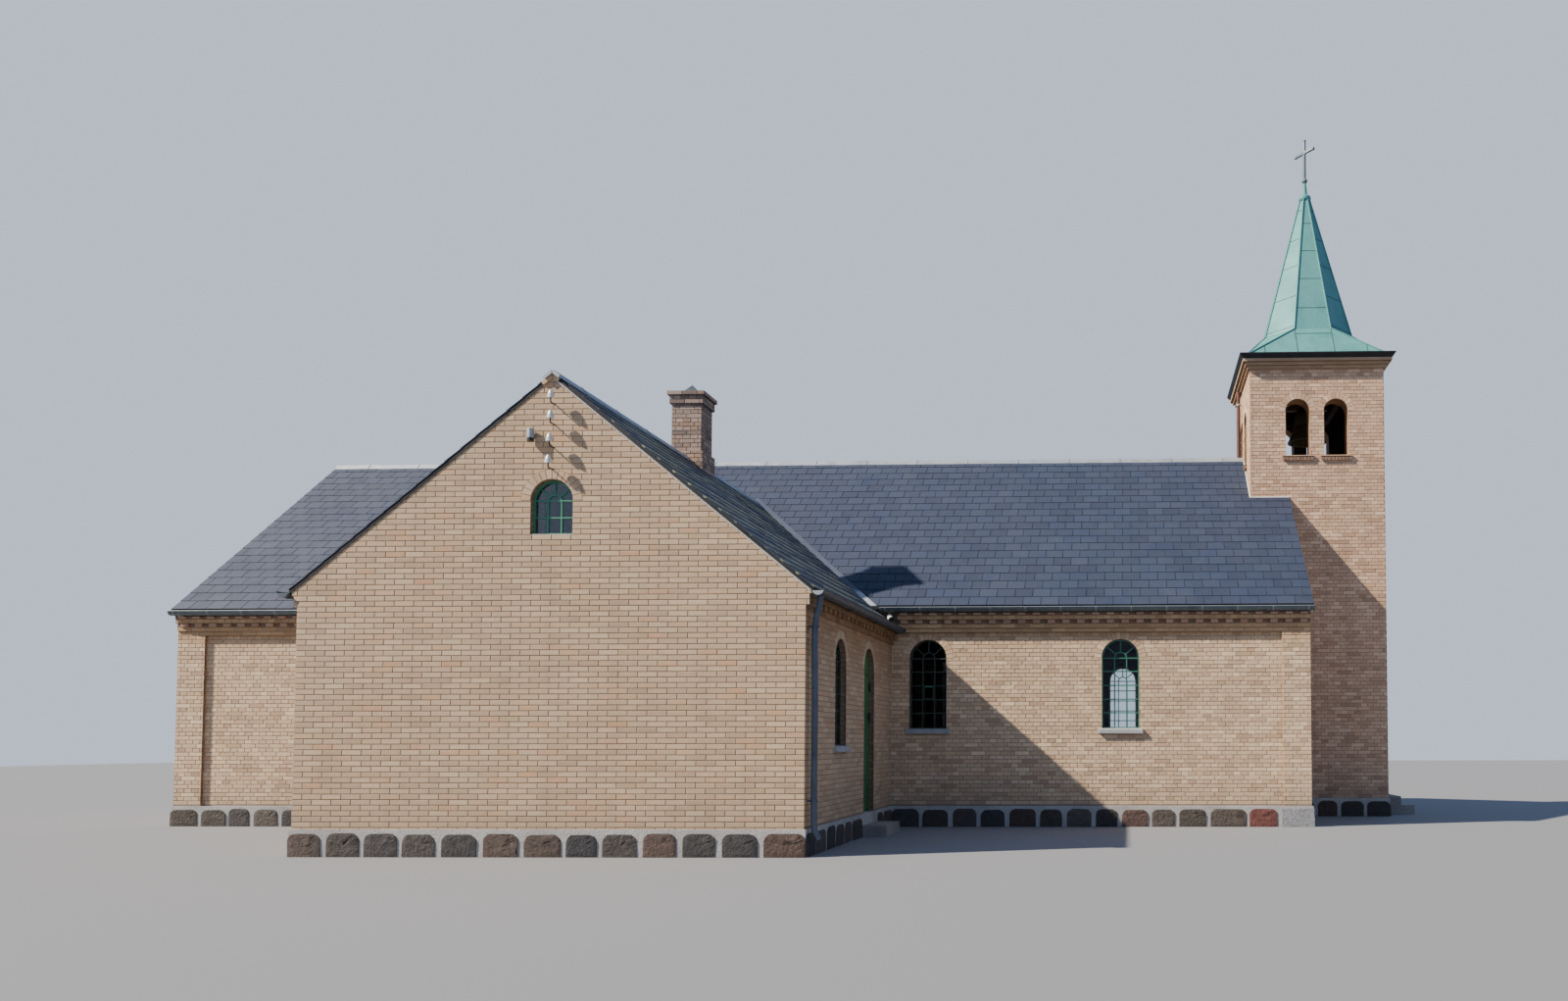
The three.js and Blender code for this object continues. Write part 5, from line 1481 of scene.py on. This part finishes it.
def buildRoofTrim():
    look = {"reach": 0.1, "lift": 0.034, "crest": 0.022, "lap": (0.04, 0.006), "every": 1.0,
            "nave": (0.6, 18), "wing": (0.7, 4), "fillet": (0.036, 0.03)}
    crest, reach = look["crest"], look["reach"]

    def lap(slope, ridge):
        top = ridge + look["lift"] - 0.004
        arms = []
        for side in (-1, 1):
            foot = (0, side * reach, ridge - slope * reach + 0.012)
            arms.append(strip((0, side * crest, top), foot, *look["lap"], (0, side * slope, 1)))
        arms.append(strip((0, -crest, top), (0, crest, top), *look["lap"], (0, 0, 1)))
        return joined(arms)

    first, count = look["nave"]
    nave = moveTo(lap(naveLook["slope"], naveLook["ridge"]), -naveLook["half"] + first, 0, 0)
    repeated(nave, count, (look["every"], 0, 0))
    middle, front, ridge, slope = [wingLook[key] for key in ("middle", "front", "ridge", "slope")]
    first, count = look["wing"]
    turn = Matrix.Translation((middle, front + first, 0)) @ Matrix.Rotation(math.pi / 2, 4, "Z")
    wing = moveBy(lap(slope, ridge), turn)
    repeated(wing, count, (0, look["every"], 0))
    done([nave, wing], "ridge_cap_laps", "zincSheet")

    # Mortar fillets round the foot of the tower on the slates, and under the wing's verge
    parts = []
    x0, edge, z = towerLook["middle"] - towerLook["half"], naveLook["half"] + 0.05, towerLook["roofLine"]
    for side in (-1, 1):
        y = side * towerLook["half"]
        by = y + side * 0.006
        parts.append(strip((x0 - 0.02, by, z + 0.008), (edge, by, z + 0.008), *look["fillet"], (0, side, 1)))
        head = (x0 - 0.006, side * 0.1, naveLook["ridge"] - 0.068)
        parts.append(strip((x0 - 0.006, y, z + 0.014), head, *look["fillet"], (-1, 0, 1)))
    apex = Vector((middle, front - 0.008, ridge - 0.066))
    foot = apex + Vector((3.18, 0, -slope * 3.18))
    parts.append(strip(foot, apex, 0.02, 0.022, (0, -1, 0)))
    done([softened(part, 0.006) for part in parts], "mortar_fillets", "mortar")
    # Filling that closes the roof's end under the ridge cap, and the cap's folded end
    def gableEnd(out, high, arms, wide, thick, soft):
        tip = Vector((middle, front - out, high))
        ends = [strip(tip, tip + Vector((side * long, 0, -slope * long)), wide, thick, (0, -1, 0))
                for side, long in arms]
        return joined([softened(end, soft) for end in ends])

    filling = gableEnd(0.018, ridge - 0.030, ((-1, 0.13), (1, 0.07)), 0.05, 0.026, 0.006)
    done(filling, "wing_apex_filling", "wingBrick")
    fold = gableEnd(0.052, ridge + look["lift"] - 0.022, ((-1, 0.106), (1, 0.09)), 0.044, 0.012, 0.003)
    done(fold, "wing_ridge_cap_end", "zincSheet")


buildRoofTrim()


# A bead along each gutter's rim, straps round it, and pale ends on the wing's gutters. A run is given by
# its wall's facing, the gutter's place before it, the rim's height and both ends
def buildGutterTrim():
    look = {"radius": 0.073, "bead": 0.006, "strap": 0.003, "wide": 0.016, "every": 0.57,
            "clamp": (0.046, 0.0385, 0.03)}
    runs = (("front", -4.001, 3.545, 2.39, 9.405), ("front", -4.001, 3.545, -9.405, -3.53),
            ("back", 4.001, 3.545, -9.405, 9.405), ("right", 2.702, 3.205, -9.026, -3.86),
            ("left", -3.840, 3.205, 3.86, 9.026))
    trims = {"nave": [], "wing": []}
    for facing, face, rim, u0, u1 in runs:
        bead = rod((u0, -look["radius"], rim), (u1, -look["radius"], rim), look["bead"], 8)
        count = int((u1 - u0 - 0.16) / look["every"])
        first = u1 - 0.09 - count * look["every"]
        radius, half = look["radius"], look["wide"] / 2
        strap = boolean(rod((first - half, 0, rim), (first + half, 0, rim), radius + look["strap"], 28),
                        rod((first - 1, 0, rim), (first + 1, 0, rim), radius + 0.0005, 28), "DIFFERENCE")
        cutPlane(strap, (0, 0, rim), (0, 0, 1))
        repeated(strap, count + 1, (look["every"], 0, 0))
        trim = onWall(joined([bead, strap]), facing, face)
        trims["nave" if facing in ("front", "back") else "wing"].append(trim)
        if facing in ("right", "left"):
            out, past, metal = (u0, -0.006, "zincSheet") if facing == "right" else (u1, 0.006, "greyPipe")
            cap = rod((out, 0, rim), (out + past, 0, rim), radius, 24)
            cutPlane(cap, (0, 0, rim - 0.02), (0, 0, 1))
            onWall(softened(cap, 0.001), facing, face)
            done(cap, f"wing_gutter_cap_{facing}", metal)
    done(trims["nave"], "nave_gutter_trim", "gutterRim")
    done(trims["wing"], "wing_gutter_trim", "greyPipe")
    # Clamps that hold the downpipes to the walls
    for place, x, y, wall, levels, metal in (("wing", 2.641, -8.892, 2.545, (2.75, 0.65), "greyPipe"),
                                             ("tower", 8.615, 0.25, 8.690, (8.02,), "zincSheet")):
        clamps = []
        for z in levels:
            outer, inner, high = look["clamp"]
            ring = boolean(rod((x, y, z), (x, y, z + high), outer, 24),
                           rod((x, y, z - 1), (x, y, z + 1), inner, 24), "DIFFERENCE")
            near, far = sorted((x + math.copysign(0.044, wall - x), wall))
            arm = block((near, y - 0.012, z + 0.005), (far, y + 0.012, z + 0.025))
            clamps += [ring, softened(arm, 0.002)]
        done(clamps, f"{place}_downpipe_clamps", metal)


buildGutterTrim()
print("roof trim laid")


# Fittings on the gable and in the corner: insulators on hooks, a small grey cylinder and a lamp

def buildFittings():
    look = {"insulators": ((-0.548, 5.548), (-0.548, 5.298), (-0.556, 5.018), (-0.566, 4.752)),
            "reach": 0.118, "cylinder": (-0.816, 5.102, 0.06, 0.041),
            "lamp": (2.515, -3.955, 3.422), "lampWay": (0.50, -0.62, -0.60)}
    front = wingLook["front"]
    hooks, cups = [], []
    out = front - look["reach"]
    for x, z in look["insulators"]:
        hooks.append(rod((x, front + 0.01, z - 0.07), (x, out - 0.004, z - 0.07), 0.008))
        hooks.append(rod((x, out, z - 0.074), (x, out, z + 0.01), 0.008))
        cups.append(rod((x, out, z - 0.020), (x, out, z + 0.028), 0.042, 20, 0.034))
        cups.append(rod((x, out, z + 0.030), (x, out, z + 0.062), 0.033, 20, 0.022))
        cups.append(ballAt((x, out, z + 0.064), 0.022))
    done(smoothed(joined(cups)), "gable_insulators", "porcelain")
    x, z, reach, radius = look["cylinder"]
    out = front - reach
    body = softened(rod((x, out, z - 0.05), (x, out, z + 0.07), radius, 24), 0.006)
    done(smoothed(body), "gable_cylinder", "zincSheet")
    hooks.append(softened(rod((x, out, z - 0.085), (x, out, z - 0.048), radius, 24), 0.004))
    hooks.append(softened(block((x - 0.012, front - 0.05, z - 0.02), (x + 0.012, front + 0.01, z + 0.03)),
                          0.003))
    done(smoothed(joined(hooks)), "gable_hooks", "blackIron")
    # A spot lamp in the inner corner, its dark face turned down and outwards
    way = Vector(look["lampWay"]).normalized()
    root = Vector(look["lamp"])
    lamp = [softened(rod(root, root + way * 0.11, 0.042, 24, 0.047), 0.006),
            softened(rod(root - way * 0.02, root + way * 0.01, 0.028, 20, 0.042), 0.003)]
    done(smoothed(joined(lamp)), "corner_lamp", "porcelain")
    face = [softened(rod(root + way * 0.106, root + way * 0.120, 0.048, 24, 0.045), 0.003),
            softened(strip(root, root + Vector((0, 0.065, 0)), 0.02, 0.008, (0, 0, 1)), 0.002)]
    done(smoothed(joined(face)), "corner_lamp_face", "blackIron")


buildFittings()
print("fittings fixed")
